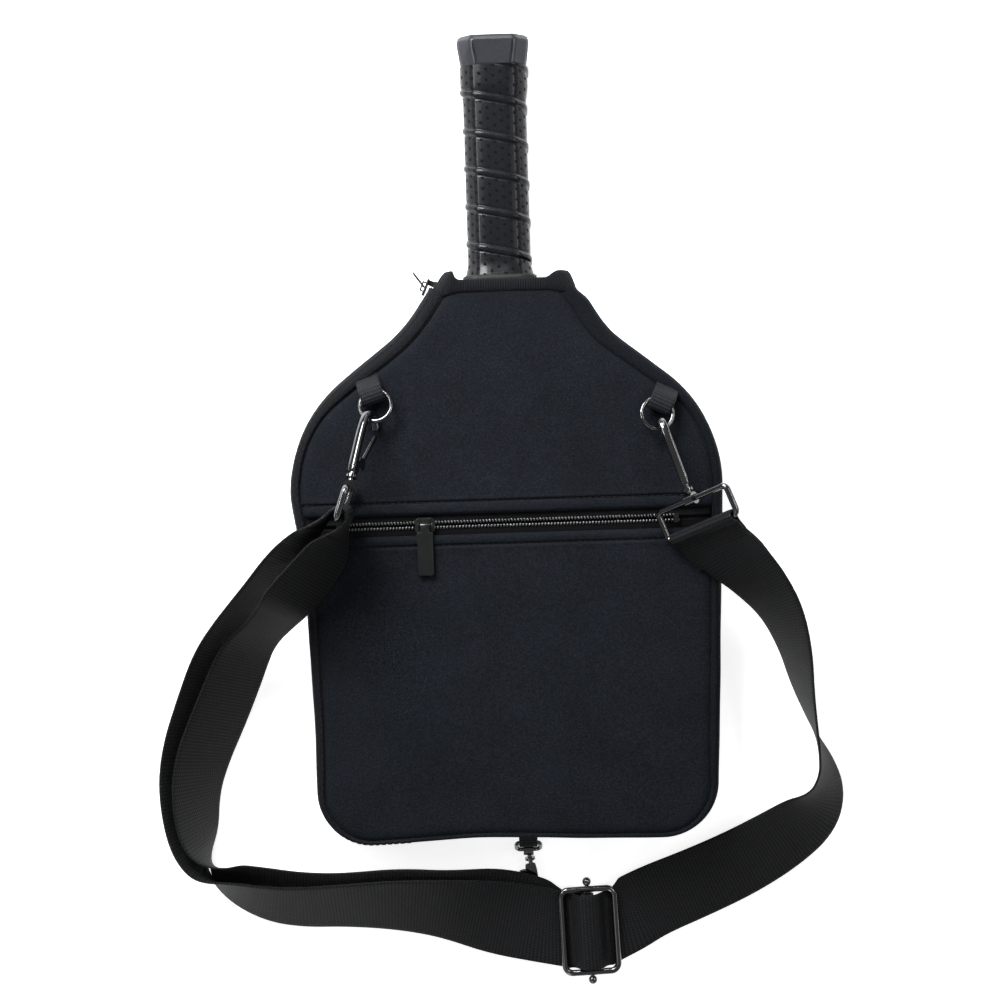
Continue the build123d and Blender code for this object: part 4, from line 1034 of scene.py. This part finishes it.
def tube(path, half_w, half_t, square, sides=20):
    """Rounded bar along a flat path, in (along, across, up); its ends are drawn in."""
    pts, dist = resample(path, 0.4)
    t = unit(np.gradient(pts, axis=0))
    n = np.stack([-t[:, 1], t[:, 0]], 1)
    a = np.linspace(0, 2 * math.pi, sides, endpoint=False)
    c, d = power(np.cos(a), 2 / square), power(np.sin(a), 2 / square)
    reach = np.minimum(dist, dist[-1] - dist) / half_w
    k = np.sqrt(np.clip(1 - (1 - np.clip(reach, 0, 1)) ** 2, 0.02, 1))[:, None]
    ring = np.empty((len(pts), sides, 3))
    ring[..., :2] = pts[:, None] + n[:, None] * (c[None] * k * half_w)[..., None]
    ring[..., 2] = d[None] * k * half_t
    return capped(ring, flip=True)


def lozenge(centre, half, square=0.35, n=18):
    """A box with generous soft edges."""
    a = np.linspace(-math.pi / 2, math.pi / 2, n)
    b = np.linspace(0, 2 * math.pi, 2 * n, endpoint=False)
    x, y = (power(np.cos(a), square)[:, None] * power(v, square)[None] for v in (np.cos(b), np.sin(b)))
    z = np.broadcast_to(power(np.sin(a), square)[:, None], x.shape)
    verts, faces = grid(np.stack([x, y, z], -1) * np.array(half) + np.array(centre), loop_v=True)
    return verts, faces[:, ::-1]


def joined(parts):
    """Several (vertices, faces) pairs as one."""
    verts, faces, start = [], [], 0
    for v, f in parts:
        verts.append(v)
        faces += [[i + start for i in face] for face in f]
        start += len(v)
    return np.vstack(verts), faces


for side, turn in (("left", "left_swivel_turn"), ("right", "right_swivel_turn"),
                   ("bottom", "bottom_hook_turn")):
    origin = np.array(JOINTS[turn]["pos_m"]) / MM
    u_dir = unit(JOINTS[turn]["axis"])
    w_dir = -unit(JOINTS[f"{side}_gate_hinge"]["axis"])
    axes = np.stack([u_dir, np.cross(w_dir, u_dir), w_dir])
    # The bottom hook is thinner than the two on the shoulders
    bow_t, base_t, cheek_z = (1.2, 1.3, 0.95) if side == "bottom" else (2.0, 1.75, 1.35)
    verts, faces = joined([
        tube(rounded(HOOK_LINE, 3), HOOK_HALF, bow_t, 3.6),
        lozenge((5.2, 0.4, 0), (3.7, 2.9, base_t)),
        *[lozenge((7.6, 4.2, z), (3.2, 3.0, 0.38), 0.6) for z in (-cheek_z, cheek_z)],
    ])
    make(f"{side}_snap_hook", origin + verts @ axes, faces, "dark_nickel", f"{side}_hook",
         None, (f"{side}_hook_body",))
    verts, faces = tube(GATE_LINE, GATE_HALF, 0.8, 2.6)
    make(f"{side}_snap_gate", origin + verts @ axes, faces, "dark_nickel", f"{side}_gate",
         None, (f"{side}_hook_gate",))

# ---- paddle handle
GRIP_Y0, GRIP_Y1 = 145.0, 255.0
PITCH = 19.0  # of the wrap's turns
RIDGE_Y = 242.8  # where the wrap's top overlap crosses the left side
PADDLE_Z = 16.0


def handle_section(hw, hd, cut):
    """Octagon across the handle, its corners softened, as evenly spaced points."""
    loop = np.array([(hw, -hd + cut), (hw, hd - cut), (hw - cut, hd), (-hw + cut, hd),
                     (-hw, hd - cut), (-hw, -hd + cut), (-hw + cut, -hd), (hw - cut, -hd)])
    for _ in range(3):
        after = np.roll(loop, -1, 0)
        loop = np.stack([0.84 * loop + 0.16 * after, 0.16 * loop + 0.84 * after], 1).reshape(-1, 2)
    return resample(np.vstack([loop, loop[:1]]), 0.45)[0][:-1]


sec = handle_section(15.9, 12.6, 6.8)
sec_t = unit(np.roll(sec, -1, 0) - np.roll(sec, 1, 0))
sec_n = np.stack([sec_t[:, 1], -sec_t[:, 0]], 1)
gap = np.linalg.norm(np.roll(sec, -1, 0) - sec, axis=1)
per = np.concatenate([[0], np.cumsum(gap)[:-1]])
total = gap.sum()
left_per = per[int(np.argmin(sec[:, 0] + 0.01 * np.abs(sec[:, 1])))]
ys = np.arange(GRIP_Y0, GRIP_Y1 + 0.01, 0.33)
turn = (ys[:, None] - RIDGE_Y - (per[None] - left_per) / total * PITCH) / PITCH
f = turn - np.floor(turn)
near = np.minimum(f, 1 - f) * PITCH
ridge = 0.75 * np.exp(-np.abs(near / 1.5) ** 3) + 0.10 * np.sin(f * math.pi)
groove = 0.5 * hill((1 - f) * PITCH - 1.95, 0.35) + 0.25 * hill(f * PITCH - 2.0, 0.4)
flare = 2.0 * smooth((157 - ys) / 11) + 1.1 * smooth((ys - 236) / 10)
off = ridge - groove + flare[:, None]
pts = np.empty((len(ys), len(sec), 3))
pts[..., 0] = sec[None, :, 0] + sec_n[None, :, 0] * off
pts[..., 1] = ys[:, None]
pts[..., 2] = PADDLE_Z + sec[None, :, 1] + sec_n[None, :, 1] * off
verts, faces = grid(pts, loop_v=True)
uv = np.stack([np.broadcast_to(per[None], f.shape), f * PITCH], -1).reshape(-1, 2)
make("grip_spiral", verts, faces, "grip", "paddle", uv, ("grip_wrap",))


# The collar over the grip's foot: (y, half width, half depth, corner radius) of its rings
BAND = [(146.2, 17.9, 14.2, 8.2), (146.6, 18.7, 14.7, 8.6), (149.4, 18.7, 14.7, 8.6),
        (150.0, 17.6, 14.0, 8.2)]
rings = []
for y, hw, hd, r in BAND:
    corners = ((hw - r, hd - r), (r - hw, hd - r), (r - hw, r - hd), (hw - r, r - hd))
    xz = np.vstack([arc(c, r, np.radians(np.linspace(a, a + 90, 14)))
                    for c, a in zip(corners, (0, 90, 180, 270))])
    rings.append(np.column_stack([xz[:, 0], np.full(len(xz), y), PADDLE_Z + xz[:, 1]]))
verts, faces = grid(np.array(rings), loop_v=True)
make("grip_collar_band", verts, faces, "grip_band", "paddle", None, ("grip_collar",))

# ---- carried-over CAD nodes
BEVELS = {
    "pocket_zip_puller": 0.42, "pocket_zip_slider": 0.25, "main_zip_slider": 0.2,
    "main_zip_puller": 0.3, "butt_cap": 1.6,
}
slots = {s["node"]: s["material_slot"] for s in frame["record"]["subparts"]}
for name, obj in NODES.items():
    finish = FINISH.get(slots.get(name))
    if not finish:
        continue
    if not obj.material_slots:
        obj.data.materials.append(MATS[finish])
    for s in obj.material_slots:
        s.link = "OBJECT"
        s.material = MATS[finish]
    if name in BEVELS:
        weld = obj.modifiers.new("shared_edges", "WELD")
        weld.merge_threshold = 0.002 * MM
        mod = obj.modifiers.new("soft_edges", "BEVEL")
        mod.width = BEVELS[name] * MM
        mod.segments = 3
        mod.limit_method = "ANGLE"
        mod.angle_limit = math.radians(35)
        mod.harden_normals = False
        mod.use_clamp_overlap = name.startswith("main")

# ---- floor and light
floor_mat = Nodes("floor")
mottle = floor_mat.noise(floor_mat.place(), 0.02, 2.0)
floor_mat.set(color=floor_mat.ramp(mottle, [(0.3, (0.90,) * 3), (0.7, (0.93,) * 3)]), rough=0.9, spec=0.1)
floor_mat.bsdf.inputs["Emission Color"].default_value = (1, 1, 1, 1)
floor_mat.bsdf.inputs["Emission Strength"].default_value = 0.8
FLOOR_HALF, FLOOR_Z = 6, -0.0002
mesh = bpy.data.meshes.new("floor")
corners = [(x * FLOOR_HALF, y * FLOOR_HALF, FLOOR_Z) for x, y in ((-1, -1), (1, -1), (1, 1), (-1, 1))]
mesh.from_pydata(corners, [], [(0, 1, 2, 3)])
mesh.materials.append(floor_mat.mat)
floor = bpy.data.objects.new("floor", mesh)
bpy.context.scene.collection.objects.link(floor)


def area(name, eye, target, size, watts, size_y=None, spread=180):
    data = bpy.data.lights.new(name, "AREA")
    data.energy = watts
    data.size = size
    data.spread = math.radians(spread)
    if size_y:
        data.shape = "RECTANGLE"
        data.size_y = size_y
    obj = bpy.data.objects.new(name, data)
    bpy.context.scene.collection.objects.link(obj)
    look_at(obj, eye, target, (0, 1, 0.001))
    obj.visible_camera = False


area("key", (-0.30, 0.62, 0.52), (0, 0.07, 0), 0.36, 2.4, spread=95)
area("low", (-0.12, -0.62, 0.34), (0.0, -0.22, 0.0), 0.2, 0.03, spread=45)
area("fill", (0.9, 0.1, 1.1), (0, 0, 0), 0.6, 0.7)
area("front", (-0.7, -0.7, 1.1), (0, 0, 0), 0.6, 0.6)
# Narrow strips that draw highlights along metal edges and the handle
for name, eye, watts in (
    ("strip_left", (-0.62, 0.42, 0.62), 2.4), ("strip_right", (0.7, 0.3, 0.7), 1.5),
    ("strip_top", (0.0, 1.0, 0.5), 1.2),
):
    area(name, eye, (0, 0.12, 0.02), 0.05, watts, 0.6)
world = bpy.data.worlds.new("studio")
world.use_nodes = True
world.node_tree.nodes["Background"].inputs["Color"].default_value = (1, 1, 1, 1)
world.node_tree.nodes["Background"].inputs["Strength"].default_value = 0.16
bpy.context.scene.world = world
bpy.context.scene.view_settings.view_transform = "Standard"
